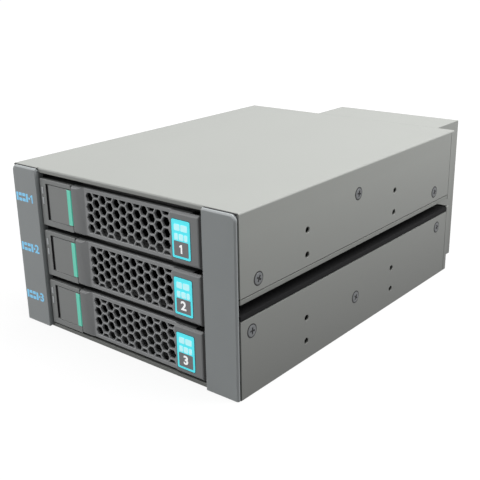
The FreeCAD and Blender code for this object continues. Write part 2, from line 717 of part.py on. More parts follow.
def make_drive_sockets():
    # one socket per tray: a block with a slot for the drive's tongue
    sockets = []
    for tray in TRAYS:
        middle = f"({tray_base(tray)} + socket_rise)"
        low, high = f"{middle} - socket_height / 2", f"{middle} + socket_height / 2"
        left, right = "(socket_shift - socket_width / 2)", "(socket_shift + socket_width / 2)"
        block = box((left, right), (SOCKET_FRONT, BOARD_FACE), (low, high))
        mouth = box((f"{left} + 2 * socket_wall", f"{right} - 2 * socket_wall"),
                    (f"{SOCKET_FRONT} - sheet", f"{BOARD_FACE} - 2 * socket_wall"),
                    (f"{low} + tongue_rise", f"{high} - socket_wall"))
        sockets.append(cut(block, [mouth]))
    piece("drive_sockets", group(sockets))


def rear_socket(x, z, width, height, reach, tongue):
    # an open shell behind the board with a contact tongue in it
    shell = box((f"{x} - {width} / 2", f"{x} + {width} / 2"), (BOARD_REAR, f"{BOARD_REAR} + {reach}"),
                (f"{z} - {height} / 2", f"{z} + {height} / 2"))
    mouth = box((f"{x} - {width} / 2 + socket_wall", f"{x} + {width} / 2 - socket_wall"),
                (f"{BOARD_REAR} + socket_wall", f"{BOARD_REAR} + {reach} + socket_wall"),
                (f"{z} - {height} / 2 + socket_wall", f"{z} + {height} / 2 - socket_wall"))
    blade = box((f"{x} - {tongue} / 2", f"{x} + {tongue} / 2"),
                (BOARD_REAR, f"{BOARD_REAR} + {reach} - 2 * socket_wall"),
                (f"{z} - socket_wall / 2", f"{z} + socket_wall / 2"))
    return fuse([cut(shell, [mouth]), blade])


def make_rear_sockets():
    middles = [f"({tray_base(tray)} + {TRAY_HEIGHT} / 2)" for tray in TRAYS]
    piece("data_sockets", group([
        rear_socket(SOCKET_X, z, "data_width", "data_height", "data_reach",
                    "(data_width - 5 * socket_wall)") for z in middles]))
    piece("power_sockets", group([
        rear_socket(SOCKET_X, f"({z} - {TRAY_PITCH} / 2)", "power_width", "power_height", "power_reach",
                    "(power_width - 5 * socket_wall)") for z in middles[:-1]]))
    x = f"({SOCKET_X} + power_width)"
    piece("fan_header", rear_socket(x, middles[1], "header_width", "header_height", "header_reach",
                                    "(header_width - 4 * socket_wall)"))


# ---------------------------------------------------------------- fan

def make_fan_housing():
    wide = f"({FAN_SIZE} / 2 + fan_play + sheet)"
    shell = box((f"{FAN_X} - {wide}", f"{FAN_X} + {wide}"), ("case_depth", HOUSING_REAR), ("0", "case_height"))
    hollow = box((f"{FAN_X} - {wide} + sheet", f"{FAN_X} + {wide} - sheet"),
                 ("case_depth - sheet", FAN_REAR), ("sheet", "case_height - sheet"))
    duct = rod("y", (FAN_X, f"{FAN_REAR} - sheet", MIDDLE), FAN_DUCT, "3 * sheet")
    holes = [peg("y", (x, f"{FAN_REAR} - sheet", z), "fan_hole", "3 * sheet") for x, z in fan_corners()]
    piece("fan_housing", cut(shell, [hollow, duct] + holes))


def square_plate(start, thickness):
    half = f"({FAN_SIZE} / 2)"
    body = along_y(rectangle((f"{FAN_X} - {half}", f"{FAN_X} + {half}"),
                             (f"{MIDDLE} - {half}", f"{MIDDLE} + {half}")), start, f"{start} + {thickness}")
    dress(body, "Chamfer", "Size", "fan_round", lambda p: True, "y")
    return body


def make_fan_frame():
    flanges = [square_plate(FAN_FRONT, "fan_flange"), square_plate(f"({FAN_REAR} - fan_flange)", "fan_flange")]
    barrel = peg("y", (FAN_X, FAN_FRONT, MIDDLE), f"({FAN_DUCT} + fan_barrel) / cos(180 / 24)", "fan_depth",
                 sides=24)
    duct = rod("y", (FAN_X, f"{FAN_FRONT} - sheet", MIDDLE), FAN_DUCT, "fan_depth + 2 * sheet")
    holes = [peg("y", (x, f"{FAN_FRONT} - sheet", z), "fan_hole", "fan_depth + 2 * sheet")
             for x, z in fan_corners()]
    ring = cut(fuse(flanges + [barrel]), [duct] + holes)
    deep = (f"{FAN_REAR} - strut_depth", FAN_REAR)
    reach = f"({FAN_DUCT} + fan_barrel / 2)"
    struts = [
        box((f"{FAN_X} - {reach}", f"{FAN_X} + {reach}"), deep,
            (f"{MIDDLE} - strut_width / 2", f"{MIDDLE} + strut_width / 2")),
        box((f"{FAN_X} - strut_width / 2", f"{FAN_X} + strut_width / 2"), deep,
            (f"{MIDDLE} - {reach}", f"{MIDDLE} + {reach}")),
        peg("y", (FAN_X, deep[0], MIDDLE), "motor_radius", "strut_depth", sides=24),
    ]
    tube_start = f"({FAN_FRONT} + hub_front + hub_wall + bearing_play)"
    struts.append(peg("y", (FAN_X, tube_start, MIDDLE), "bearing_radius",
                      f"{FAN_REAR} - strut_depth / 2 - {tube_start}", sides=12))
    bore = rod("y", (FAN_X, f"{tube_start} - sheet", MIDDLE), "shaft_radius + shaft_play",
               f"{FAN_REAR} - strut_depth - {tube_start} + sheet")
    piece("fan_frame", cut(fuse([ring] + struts), [bore]))


def make_gasket():
    plate = square_plate("case_depth", "gasket")
    duct = peg("y", (FAN_X, "case_depth - sheet", MIDDLE), f"{FAN_DUCT} + fan_barrel", "gasket + 2 * sheet",
               sides=24)
    holes = [peg("y", (x, "case_depth - sheet", z), "fan_hole", "gasket + 2 * sheet")
             for x, z in fan_corners()]
    piece("fan_gasket", cut(plate, [duct] + holes))


def blade(root, tip):
    # a strip that twists, widens and leans from the hub to the tip
    rings = []
    for share in (0, 0.5, 1):
        radius = root + share * (tip - root)
        tilt = math.radians(number(f"root_angle + {share} * (tip_angle - root_angle)"))
        chord = number(f"root_chord + {share} * (tip_chord - root_chord)")
        thick = number("blade_thick")
        turn = Rotation(Vector(0, 1, 0), share * number("blade_sweep"))
        ring = []
        for along, across in ((-chord, -thick), (chord, -thick), (chord, thick), (-chord, thick)):
            side = along / 2 * math.cos(tilt) - across / 2 * math.sin(tilt)
            rise = along / 2 * math.sin(tilt) + across / 2 * math.cos(tilt)
            flat = math.sqrt(max(radius ** 2 - side ** 2, 0))
            ring.append(turn.multVec(Vector(side, rise, flat)))
        rings.append(ring)
    return skin(rings)


def make_rotor():
    # cup and shaft, with the blades in a ring round the cup
    start = f"({FAN_FRONT} + hub_front)"
    hollow = peg("y", (FAN_X, f"{start} + hub_wall", MIDDLE), "hub_radius - hub_wall", "hub_depth", sides=24)
    cup = cut(peg("y", (FAN_X, start, MIDDLE), "hub_radius", "hub_depth", sides=24), [hollow])
    shaft = rod("y", (FAN_X, start, MIDDLE), "shaft_radius",
                f"{FAN_REAR} - strut_depth - 2 * bearing_play - {start}")
    one = blade(number("hub_radius - hub_wall / 2"), number(f"{FAN_DUCT} - tip_play"))
    solids = [cup, shaft]
    count = int(number("blade_count"))
    for i in range(count):
        turned = doc.addObject("Part::Feature", "blade")
        turned.Shape = one.copy()
        turned.Placement.Rotation = Rotation(Vector(0, 1, 0), 360 * i / count)
        place(turned, FAN_X, f"{start} + hub_depth / 2", MIDDLE)
        solids.append(turned)
    piece("fan_rotor", fuse(solids))


def make_guard():
    # flat wire rings on a cross of bars, with an eyelet at each screw
    start = HOUSING_REAR
    rings = []
    for step in range(4):
        outer = f"({FAN_DUCT} - {step} * guard_pitch)"
        tool = peg("y", (FAN_X, f"{start} - sheet", MIDDLE), f"{outer} - guard_wire",
                   "guard_wire + 2 * sheet", sides=20)
        rings.append(cut(peg("y", (FAN_X, start, MIDDLE), outer, "guard_wire", sides=20), [tool]))
    reach = math.sqrt(0.5)
    bars = []
    for turn in (45, -45):
        bar = doc.addObject("Part::Box", "bar")
        bar.Placement = Placement(Vector(), Rotation(Vector(0, 1, 0), turn))
        bind(bar, "Length", f"{FAN_PITCH} / {reach} - 2 * guard_eye + guard_wire")
        bind(bar, "Width", "guard_wire")
        bind(bar, "Height", "guard_wire")
        half = f"({FAN_PITCH} / {reach} / 2 - guard_eye + guard_wire / 2) * {reach}"
        up = 1 if turn > 0 else -1
        place(bar, f"{FAN_X} - {half} - {up} * guard_wire / 2 * {reach}", start,
              f"{MIDDLE} + {up} * {half} - guard_wire / 2 * {reach}")
        bars.append(bar)
    eyes = [peg("y", (x, start, z), "guard_eye", "guard_wire", sides=8) for x, z in fan_corners()]
    holes = [peg("y", (x, f"{start} - sheet", z), "fan_hole", "guard_wire + 2 * sheet")
             for x, z in fan_corners()]
    piece("finger_guard", cut(fuse(rings + bars + eyes), holes))


def make_fan_screws():
    screws = []
    for x, z in fan_corners():
        head = peg("y", (x, GUARD_REAR, z), "fan_screw_head", "fan_head_high", sides=8)
        shank = peg("y", (x, "case_depth - sheet", z), "fan_screw", f"{GUARD_REAR} - case_depth + sheet")
        screws.append(fuse([head, shank]))
    piece("fan_screws", group(screws))


# ---------------------------------------------------------------- trays

# Drawn for the lowest tray; tray_piece repeats each sub-part in the trays above.

TRAY_LOW = "tray_first"
TRAY_HIGH = f"(tray_first + {TRAY_HEIGHT})"
LATCH_LEFT = f"(-{TRAY_HALF} + frame_side + latch_slot)"
LATCH_RIGHT = f"(-{TRAY_HALF} + frame_side + latch_slot + latch_width)"
POCKET_FLOOR = f"({TRAY_FACE} + latch_plate + latch_play)"
POCKET_BACK = f"({TRAY_FACE} + latch_plate + latch_play + latch_floor)"
CROSS_WALL = f"({BEZEL_BACK} - bezel_wall)"
HOLLOW_LEFT = f"(-{TRAY_HALF} + frame_side - bezel_wall)"
STEM_LEFT = f"({LATCH_LEFT} + stem_inset)"
LEVER_LEFT = f"({LATCH_RIGHT} + latch_play + lever_seam)"
LEVER_RIGHT = f"({TRAY_HALF} - lever_edge)"
MESH_FACE = f"({LEVER_FACE} + mesh_recess)"
MESH_BACK = f"({LEVER_FACE} + mesh_recess + mesh_plate)"
HINGE_X = f"({TRAY_HALF} - hinge_inset)"
HINGE_Y = f"({LEVER_FACE} + hinge_depth)"
HINGE_CLEAR = f"({HINGE_X} - knuckle_radius - latch_play * 2)"
KNUCKLE = f"({TRAY_HEIGHT} - 2 * (ear_end + ear_height + ear_play))"
WINDOW = (f"{LEVER_LEFT} + bar_width", f"{HINGE_X} - knuckle_radius - bezel_wall")


def clip_spots():
    # left ends of the two clips: beside the latch's hollow, and beside the right rail
    return (f"({LEVER_LEFT} - lever_seam - bezel_wall)", "(drive_width / 2 + drive_play - clip_size)")


def window_tool(y):
    return box(WINDOW, y, (f"{TRAY_LOW} + window_rim", f"{TRAY_HIGH} - window_rim"))


def pipe_height_range(step, grow="0"):
    high = f"{TRAY_HIGH} - pipe_drop - {step} * pipe_pitch"
    return (f"{high} - pipe_height - {grow}", f"{high} + {grow}")


def make_tray_frame():
    # cross plate and two long rails; the groove in each rail runs on a guide rib
    inner = "(drive_width / 2 + drive_play)"
    tall = (f"{TRAY_LOW} + rail_lift", f"{TRAY_HIGH} - rail_drop")
    end = f"({SOCKET_FRONT} - rail_short)"
    plate = box((f"-{TRAY_HALF}", TRAY_HALF), (BEZEL_BACK, f"{BEZEL_BACK} + frame_plate"), tall)
    rails = [side_box(side, (inner, TRAY_HALF), (BEZEL_BACK, end), tall) for side in (-1, 1)]
    middle = f"({TRAY_HIGH} - rib_drop)"
    room = "(rib_height / 2 + guide_play)"
    groove_floor = f"({OPENING} - rib_reach - guide_play)"
    grooves = [side_box(side, (groove_floor, f"{TRAY_HALF} + sheet"),
                        (f"{BEZEL_BACK} - sheet", f"{end} + sheet"),
                        (f"{middle} - {room}", f"{middle} + {room}")) for side in (-1, 1)]
    holes = [rod("x", (f"-{TRAY_HALF} - sheet", f"{BEZEL_BACK} + drive_hole_first + {step} * drive_along",
                       f"{TRAY_LOW} + drive_hole_rise"), "drive_hole / 2", f"2 * {TRAY_HALF} + 2 * sheet")
             for step in (0, 1)]
    deep = (f"{BEZEL_BACK} - sheet", f"{BEZEL_BACK} + frame_plate + sheet")
    slots = [box((x, f"{x} + clip_size"), deep,
                 (f"{TRAY_MIDDLE} - clip_size / 2", f"{TRAY_MIDDLE} + clip_size / 2")) for x in clip_spots()]
    tray_piece("tray_frame", cut(fuse([plate] + rails), grooves + holes + slots + [window_tool(deep)]))


def make_tray_bezel():
    # moulded front: latch pocket on the left, air window behind the lever, hinge ears on the right
    tall = (TRAY_LOW, TRAY_HIGH)
    block_right = f"({LEVER_LEFT} - lever_seam)"
    block = box((f"-{TRAY_HALF}", block_right), (TRAY_FACE, BEZEL_BACK), tall)
    wall = box((f"-{TRAY_HALF}", TRAY_HALF), (CROSS_WALL, BEZEL_BACK), tall)
    pocket = box((f"-{TRAY_HALF} + frame_side", f"{block_right} + sheet"),
                 (f"{TRAY_FACE} - sheet", POCKET_FLOOR),
                 (f"{TRAY_LOW} + border_low", f"{TRAY_HIGH} - border_high"))
    hollow = box((HOLLOW_LEFT, f"{block_right} - bezel_wall"), (POCKET_BACK, f"{BEZEL_BACK} + sheet"),
                 (f"{TRAY_LOW} + bezel_wall", f"{TRAY_HIGH} - bezel_wall"))
    reach = "(stem_height / 2 + latch_play)"
    stem = box((f"{STEM_LEFT} - latch_travel - latch_play", f"{STEM_LEFT} + stem_width + latch_play"),
               (f"{TRAY_FACE} - sheet", f"{POCKET_BACK} + sheet"),
               (f"{TRAY_MIDDLE} - {reach}", f"{TRAY_MIDDLE} + {reach}"))
    pipe_left = f"(-{TRAY_HALF} + pipe_inset)"
    pipes = [box((f"{pipe_left} - pipe_hold", f"{pipe_left} + pipe_width + pipe_hold"),
                 (f"{TRAY_FACE} - sheet", f"{BEZEL_BACK} + sheet"), pipe_height_range(step, "pipe_hold"))
             for step in (0, 1)]
    ears = []
    for start in (f"({TRAY_LOW} + ear_end)", f"({TRAY_HIGH} - ear_end - ear_height)"):
        ears.append(peg("z", (HINGE_X, HINGE_Y, start), "knuckle_radius", "ear_height", sides=12))
        ears.append(box((f"{HINGE_X} - knuckle_radius", f"{HINGE_X} + knuckle_radius"), (HINGE_Y, CROSS_WALL),
                        (start, f"{start} + ear_height")))
    pin = peg("z", (HINGE_X, HINGE_Y, TRAY_LOW), "pin_radius / cos(180 / 12)", TRAY_HEIGHT, sides=12)
    clips = [box((f"{x} + pipe_hold", f"{x} + clip_size - pipe_hold"),
                 (CROSS_WALL, f"{BEZEL_BACK} + frame_plate + sheet"),
                 (f"{TRAY_MIDDLE} - clip_size / 2 + pipe_hold", f"{TRAY_MIDDLE} + clip_size / 2 - pipe_hold"))
             for x in clip_spots()]
    shell = cut(fuse([block, wall]), [pocket, hollow, stem] + pipes + [window_tool((CROSS_WALL, BEZEL_BACK))])
    tray_piece("tray_bezel", fuse([shell, cut(fuse(ears), [pin])] + clips))


def make_light_pipes():
    tray_piece("light_pipes", group([
        box((f"-{TRAY_HALF} + pipe_inset", f"-{TRAY_HALF} + pipe_inset + pipe_width"),
            (f"{TRAY_FACE} - stripe_proud", BEZEL_BACK), pipe_height_range(step)) for step in (0, 1)]))


def stripe_box(grow):
    right = f"({LATCH_RIGHT} - stripe_inset)"
    return box((f"{right} - stripe_width", right), (f"{TRAY_FACE} - {grow}", f"{TRAY_FACE} + stripe_depth"),
               (f"{TRAY_LOW} + border_low + 2 * latch_play", f"{TRAY_HIGH} - border_high - 2 * latch_play"))


def make_latch():
    plate = box((LATCH_LEFT, LATCH_RIGHT), (TRAY_FACE, f"{TRAY_FACE} + latch_plate"),
                (f"{TRAY_LOW} + border_low + latch_play", f"{TRAY_HIGH} - border_high - latch_play"))
    foot_back = f"{POCKET_BACK} + latch_play + foot_depth"
    stem = box((STEM_LEFT, f"{STEM_LEFT} + stem_width"), (f"{TRAY_FACE} + latch_plate", foot_back),
               (f"{TRAY_MIDDLE} - stem_height / 2", f"{TRAY_MIDDLE} + stem_height / 2"))
    reach = "(stem_height / 2 + foot_rise)"
    foot = box((f"{STEM_LEFT} - foot_margin", f"{STEM_LEFT} + stem_width + foot_margin"),
               (f"{POCKET_BACK} + latch_play", foot_back),
               (f"{TRAY_MIDDLE} - {reach}", f"{TRAY_MIDDLE} + {reach}"))
    tray_piece("latch", cut(fuse([plate, stem, foot]), [stripe_box("sheet")]))
    tray_piece("latch_stripe", stripe_box("stripe_proud"))


def make_latch_spring():
    # folded leaf between the hollow's left wall and the latch's foot
    room = f"({STEM_LEFT} - foot_margin - {HOLLOW_LEFT})"
    near_y = f"({POCKET_BACK} + latch_play)"
    far_y = f"({POCKET_BACK} + latch_play + foot_depth)"
    folds = 4
    front = [(f"{HOLLOW_LEFT} + {i} * {room} / {folds}", far_y if i % 2 else near_y) for i in range(folds + 1)]
    back = [(x, f"{y} + 2 * spring_strip") for x, y in reversed(front)]
    tray_piece("latch_spring", along_z(front + back, f"{TRAY_MIDDLE} - spring_height / 2",
                                       f"{TRAY_MIDDLE} + spring_height / 2"))


def honeycomb_cells():
    # flat-topped hexagonal cells in staggered columns, cut off straight along the top and the underside
    pitch, web = number("cell_pitch"), number("cell_web")
    cell = (pitch - web) / math.sqrt(3)
    column = pitch * math.sqrt(3) / 2
    left = number(f"{LEVER_LEFT} + bar_width + scoop_width + cell_margin")
    right = number(f"{LEVER_RIGHT} - block_width - cell_margin")
    middle = number(TRAY_MIDDLE)
    rows = int((number(TRAY_HEIGHT) - 2 * number("rim_wall")) // pitch)
    columns = int((right - left - 2 * cell) // column) + 1
    first_x = (left + right) / 2 - (columns - 1) * column / 2
    front, back = number(f"{MESH_FACE} - sheet"), number(f"{MESH_BACK} + sheet")
    band_half = (rows * pitch - web) / 2
    cells = []
    for i in range(columns):
        for j in range(rows + i % 2):
            rise = (j - (rows - 1) / 2 - i % 2 / 2) * pitch
            centre = Vector(first_x + i * column, front, middle + rise)
            corners = [centre + Vector(cell * math.cos(math.radians(a)), 0, cell * math.sin(math.radians(a)))
                       for a in range(0, 361, 60)]
            cells.append(Part.Face(Part.makePolygon(corners)).extrude(Vector(0, back - front, 0)))
    width = right - left + 2 * cell
    band = Part.makeBox(width, back - front, 2 * band_half,
                        Vector((left + right - width) / 2, front, middle - band_half))
    tool = doc.addObject("Part::Feature", "cells")
    tool.Shape = Part.makeCompound([solid.common(band) for solid in cells])
    return tool


def make_lever():
    # plan outline crossed with a bevelled side outline, then the honeycomb is cut through the thin middle
    block = f"({LEVER_RIGHT} - block_width)"
    plan = [
        (LEVER_LEFT, LEVER_FACE),
        (f"{LEVER_LEFT} + bar_width", LEVER_FACE),
        (f"{LEVER_LEFT} + bar_width + scoop_width", MESH_FACE),
        (block, MESH_FACE),
        (f"{block} + seam", LEVER_FACE),
        (f"{LEVER_RIGHT} - block_bevel", LEVER_FACE),
        (LEVER_RIGHT, f"{LEVER_FACE} + block_bevel * 0.8"),
        (LEVER_RIGHT, MESH_BACK),
        (f"{LEVER_RIGHT} - rim_wall", MESH_BACK),
        (f"{LEVER_RIGHT} - rim_wall", MESH_FACE),
        (HINGE_CLEAR, MESH_FACE),
        (HINGE_CLEAR, MESH_BACK),
        (LEVER_LEFT, MESH_BACK),
    ]
    side = [
        (LEVER_FACE, f"{TRAY_LOW} + lever_bevel"),
        (f"{LEVER_FACE} + lever_bevel", TRAY_LOW),
        (f"{MESH_BACK} + sheet", TRAY_LOW),
        (f"{MESH_BACK} + sheet", TRAY_HIGH),
        (f"{LEVER_FACE} + lever_bevel", TRAY_HIGH),
        (LEVER_FACE, f"{TRAY_HIGH} - lever_bevel"),
    ]
    blank = common(along_z(plan, TRAY_LOW, TRAY_HIGH),
                   along_x(side, f"{LEVER_LEFT} - sheet", f"{LEVER_RIGHT} + sheet"))
    rims = [box((LEVER_LEFT, HINGE_CLEAR), (MESH_BACK, f"{MESH_BACK} + rim_depth"), (low, f"{low} + rim_wall"))
            for low in (TRAY_LOW, f"{TRAY_HIGH} - rim_wall")]
    start = f"({TRAY_MIDDLE} - {KNUCKLE} / 2)"
    knuckle = peg("z", (HINGE_X, HINGE_Y, start), "knuckle_radius", KNUCKLE, sides=12)
    web = box((f"{HINGE_X} - knuckle_radius", f"{HINGE_X} + knuckle_radius"), (MESH_FACE, HINGE_Y),
              (start, f"{start} + {KNUCKLE}"))
    pin = rod("z", (HINGE_X, HINGE_Y, f"{start} - sheet"), "pin_radius + pin_play", f"{KNUCKLE} + 2 * sheet")
    lever = doc.addObject("Part::Cut", "lever")
    lever.Base = cut(fuse([blank] + rims + [knuckle, web]), [pin])
    lever.Tool = honeycomb_cells()
    tray_piece("lever", lever)


def make_lever_pin():
    tray_piece("lever_pin", rod("z", (HINGE_X, HINGE_Y, f"{TRAY_LOW} + ear_end"), "pin_radius",
                                f"{TRAY_HEIGHT} - 2 * ear_end"))


# ---------------------------------------------------------------- build, test and write

make_pan()
make_cover()
for side, word in ((-1, "left"), (1, "right")):
    make_mid_rail(side, f"mid_rail_{word}")
    make_rack(side, f"guide_rack_{word}")
    make_pillar(side, f"front_pillar_{word}")
make_rear_panel()
make_side_screws()
small_screws("rear_panel_screws", panel_screw_spots(), "case_depth", -1)
make_board()
make_standoffs()
small_screws("board_screws", standoff_spots(), BOARD_FACE, 1)
make_drive_sockets()
make_rear_sockets()
make_fan_housing()
make_gasket()
make_fan_frame()
make_rotor()
make_guard()
make_fan_screws()
make_tray_frame()
make_tray_bezel()
make_light_pipes()
make_latch()
make_latch_spring()
make_lever()
make_lever_pin()
doc.recompute()

for thing in doc.Objects:
    if "Invalid" in thing.State or "Error" in thing.State:
        raise RuntimeError(f"{thing.Name} ({thing.Label}) did not build: {thing.State}")
for thing in pieces:
    if thing.Shape.isNull() or not thing.Shape.isValid():
        raise RuntimeError(f"{thing.Label} has no valid shape")

os.makedirs("parts", exist_ok=True)
for thing in pieces:
    thing.Shape.exportStep(f"parts/{thing.Label}.step")
print(len(pieces), "pieces written")
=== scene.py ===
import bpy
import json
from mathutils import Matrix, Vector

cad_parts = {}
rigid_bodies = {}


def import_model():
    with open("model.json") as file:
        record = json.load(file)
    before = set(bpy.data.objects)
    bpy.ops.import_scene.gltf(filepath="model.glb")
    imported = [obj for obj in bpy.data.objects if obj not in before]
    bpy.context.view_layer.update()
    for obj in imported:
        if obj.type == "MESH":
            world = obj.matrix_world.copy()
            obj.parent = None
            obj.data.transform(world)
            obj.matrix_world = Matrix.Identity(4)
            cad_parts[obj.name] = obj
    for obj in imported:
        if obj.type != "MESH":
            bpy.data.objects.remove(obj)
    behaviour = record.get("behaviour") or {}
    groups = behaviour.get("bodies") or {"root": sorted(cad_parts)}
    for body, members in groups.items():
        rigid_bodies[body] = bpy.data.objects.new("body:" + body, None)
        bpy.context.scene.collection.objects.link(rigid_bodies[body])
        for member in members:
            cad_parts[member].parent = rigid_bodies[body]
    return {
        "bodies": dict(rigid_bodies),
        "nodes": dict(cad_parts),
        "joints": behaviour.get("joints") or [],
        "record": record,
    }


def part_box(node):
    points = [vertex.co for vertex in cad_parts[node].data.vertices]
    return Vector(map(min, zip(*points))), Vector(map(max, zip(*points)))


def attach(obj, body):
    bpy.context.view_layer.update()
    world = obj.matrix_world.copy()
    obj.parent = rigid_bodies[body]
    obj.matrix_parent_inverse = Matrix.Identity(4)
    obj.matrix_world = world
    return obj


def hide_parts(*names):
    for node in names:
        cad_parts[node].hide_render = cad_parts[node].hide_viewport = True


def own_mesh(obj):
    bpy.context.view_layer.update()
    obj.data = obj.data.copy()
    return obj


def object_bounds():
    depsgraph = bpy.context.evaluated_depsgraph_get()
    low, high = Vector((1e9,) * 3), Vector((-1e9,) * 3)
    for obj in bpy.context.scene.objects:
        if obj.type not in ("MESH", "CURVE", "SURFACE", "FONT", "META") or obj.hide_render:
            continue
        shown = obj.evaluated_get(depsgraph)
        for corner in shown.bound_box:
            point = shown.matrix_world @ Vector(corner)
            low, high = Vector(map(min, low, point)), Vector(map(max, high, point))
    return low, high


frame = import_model()
cadBox = [list(corner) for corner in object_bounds()]

import json
import math

import bmesh
import bpy
import numpy
from mathutils import Euler, Matrix, Vector
from mathutils.bvhtree import BVHTree

nodes = frame["nodes"]
trays = (1, 2, 3)
caseLow, caseHigh = (Vector(corner) for corner in cadBox)
bodyOf = {name: body for body, held in frame["record"]["behaviour"]["bodies"].items() for name in held}
slotOf = {part["node"]: part["material_slot"] for part in frame["record"]["subparts"]}


# ---- shader maths: a wrapped socket that can be added, multiplied and so on

class Value:
    def __init__(self, finish, socket):
        self.finish = finish
        self.socket = socket

    def maths(self, operation, other=0.0):
        return self.finish.node("ShaderNodeMath", {"operation": operation}, {0: self, 1: other})

    def __add__(self, other):
        return self.maths("ADD", other)

    def __mul__(self, other):
        return self.maths("MULTIPLY", other)

    __radd__ = __add__
    __rmul__ = __mul__


class Finish:
    # one material, and the one method that makes any of its nodes
    def __init__(self, name):
        self.material = bpy.data.materials.new(name)
        self.material.use_nodes = True
        self.tree = self.material.node_tree
        self.tree.nodes.clear()
        self.place = self.node("ShaderNodeTexCoord", {}, {}, "Object")

    def node(self, kind, settings, values, output=0):
        made = self.tree.nodes.new(kind)
        stops = settings.get("stops", ())
        for name, setting in settings.items():
            if name != "stops":
                setattr(made, name, setting)
        for index, (position, level) in enumerate(stops):
            ramp = made.color_ramp.elements
            element = ramp[index] if index < len(ramp) else ramp.new(position)
            element.position = position
            element.color = (level, level, level, 1.0)
        for name, value in values.items():
            if isinstance(value, Value):
                self.tree.links.new(value.socket, made.inputs[name])
            else:
                made.inputs[name].default_value = value
        return None if output is None else Value(self, made.outputs[output])

    def noise(self, size, detail=2.0):
        # size is the distance from one blotch to the next, in metres
        values = {"Vector": self.place, "Scale": 1 / size, "Detail": detail}
        return self.node("ShaderNodeTexNoise", {}, values)

    def ramp(self, value, *stops):
        return self.node("ShaderNodeValToRGB", {"stops": stops}, {"Fac": value})

    def blend(self, factor, first, second):
        colours = {6: first, 7: second}
        colours = {key: c if isinstance(c, Value) else (*c, 1.0) for key, c in colours.items()}
        return self.node("ShaderNodeMix", {"data_type": "RGBA"}, {0: factor, **colours}, 2)

    def multiplied(self, tone, level):
        return self.node("ShaderNodeMix", {"data_type": "RGBA", "blend_type": "MULTIPLY"},
                         {0: 1.0, 6: tone, 7: level}, 2)

    def part(self, axis):
        # how far a point lies along an axis, in metres
        return self.node("ShaderNodeSeparateXYZ", {}, {0: self.place}, axis)

    def reached(self, axis, start, end):
        # 0 before the start, 1 past the end
        values = {"Value": self.part(axis), "From Min": start, "From Max": end}
        return self.node("ShaderNodeMapRange", {}, values)

    def bump(self, height, depth, strength):
        return self.node("ShaderNodeBump", {}, {"Height": height, "Distance": depth, "Strength": strength})

    def surface(self, colour, values):
        base = colour if isinstance(colour, Value) else (*colour, 1.0)
        shader = self.node("ShaderNodeBsdfPrincipled", {}, {"Base Color": base, **values})
        self.node("ShaderNodeOutputMaterial", {}, {"Surface": shader}, None)
        return self.material


# ---- finishes

def shade(colour, factor):
    return tuple(channel * factor for channel in colour)


# painted shade towards the bottom: below this height the coat's tone falls to this share at the floor
groundShade = {"top": 0.075, "tone": 0.50}


def paintedSteel(name, colour, shadowColour=None, edge=0.0, lip=0.0):
    # fine powder coat: a faint cloud of tone, a grain that breaks the gloss, and where a shadow colour is given
    # painted shade in the side slot, near black nearer the middle than the edge or lower than the lip
    finish = Finish(name)
    cloud = finish.noise(0.045, 3.0)
    grain = finish.noise(0.00045, 2.0)
    tone = finish.blend(cloud, shade(colour, 0.95), shade(colour, 1.05))
    tone = finish.blend(finish.ramp(grain, (0.35, 0.0), (0.75, 0.16)), tone, shade(colour, 1.25))
    if shadowColour:
        inside = finish.part(0).maths("ABSOLUTE").maths("LESS_THAN", edge)
        slotShadeMask = inside.maths("MAXIMUM", finish.part(2).maths("LESS_THAN", lip))
        tone = finish.blend(slotShadeMask, tone, shadowColour)
    # painted shade: the coat is darkened towards the bottom
    height = finish.reached(2, 0.0, groundShade["top"])
    tone = finish.multiplied(tone, finish.ramp(height, (0.0, groundShade["tone"]), (1.0, 1.0)))
    rough = 0.40 + 0.10 * cloud + 0.08 * grain
    if shadowColour:
        rough = rough + 0.40 * slotShadeMask
    return finish.surface(tone, {"Roughness": rough, "Normal": finish.bump(grain, 0.00006, 0.35),
                                 "Specular IOR Level": 0.22 if shadowColour else 0.55})


def mouldedPlastic(name, colour, gloss=0.42, grainSize=0.0006, depth=0.00005, lightAndShadeBands=()):
    # spark-eroded grain with an uneven sheen; each (axis, start, end, factor) paints shade or light past a place,
    # a factor below 1 painted shade and one above 1 painted light
    finish = Finish(name)
    cloud = finish.noise(0.02, 2.0)
    grain = finish.noise(grainSize, 3.0)
    tone = finish.blend(cloud, shade(colour, 0.94), shade(colour, 1.06))
    level = None
    for axis, start, end, factor in lightAndShadeBands:
        change = 1.0 + (factor - 1.0) * finish.reached(axis, start, end)
        level = level * change if level else change
    if level:
        tone = finish.multiplied(tone, level)
    rough = gloss + 0.10 * grain + 0.06 * cloud
    return finish.surface(tone, {"Roughness": rough, "Normal": finish.bump(grain, depth, 0.4)})


def platedMetal(name, colour, rough):
    # zinc or nickel plate with faint handling marks
    finish = Finish(name)
    marks = finish.noise(0.0012, 4.0)
    cloud = finish.noise(0.008, 2.0)
    tone = finish.blend(cloud, shade(colour, 0.88), shade(colour, 1.05))
    return finish.surface(tone, {"Metallic": 1.0, "Roughness": rough + 0.14 * marks,
                                 "Normal": finish.bump(marks, 0.00002, 0.3)})


def circuitBoard(name, colour):
    # solder resist over faint tracks that run both ways
    finish = Finish(name)
    tracks = finish.node("ShaderNodeTexBrick", {"offset": 0.5, "squash": 1.0}, {
        "Vector": finish.node("ShaderNodeMapping", {"vector_type": "POINT"}, {
            "Vector": finish.place, "Rotation": (math.radians(90), 0.0, 0.0)}),
        "Scale": 1.0, "Brick Width": 0.0062, "Row Height": 0.0019, "Mortar Size": 0.00018,
        "Mortar Smooth": 0.2}, "Fac")
    cloud = finish.noise(0.011, 2.0)
    tone = finish.blend(tracks, colour, shade(colour, 1.9))
    tone = finish.blend(cloud, tone, shade(colour, 0.8))
    return finish.surface(tone, {"Roughness": 0.30 + 0.12 * cloud,
                                 "Normal": finish.bump(tracks, 0.00003, 0.5)})


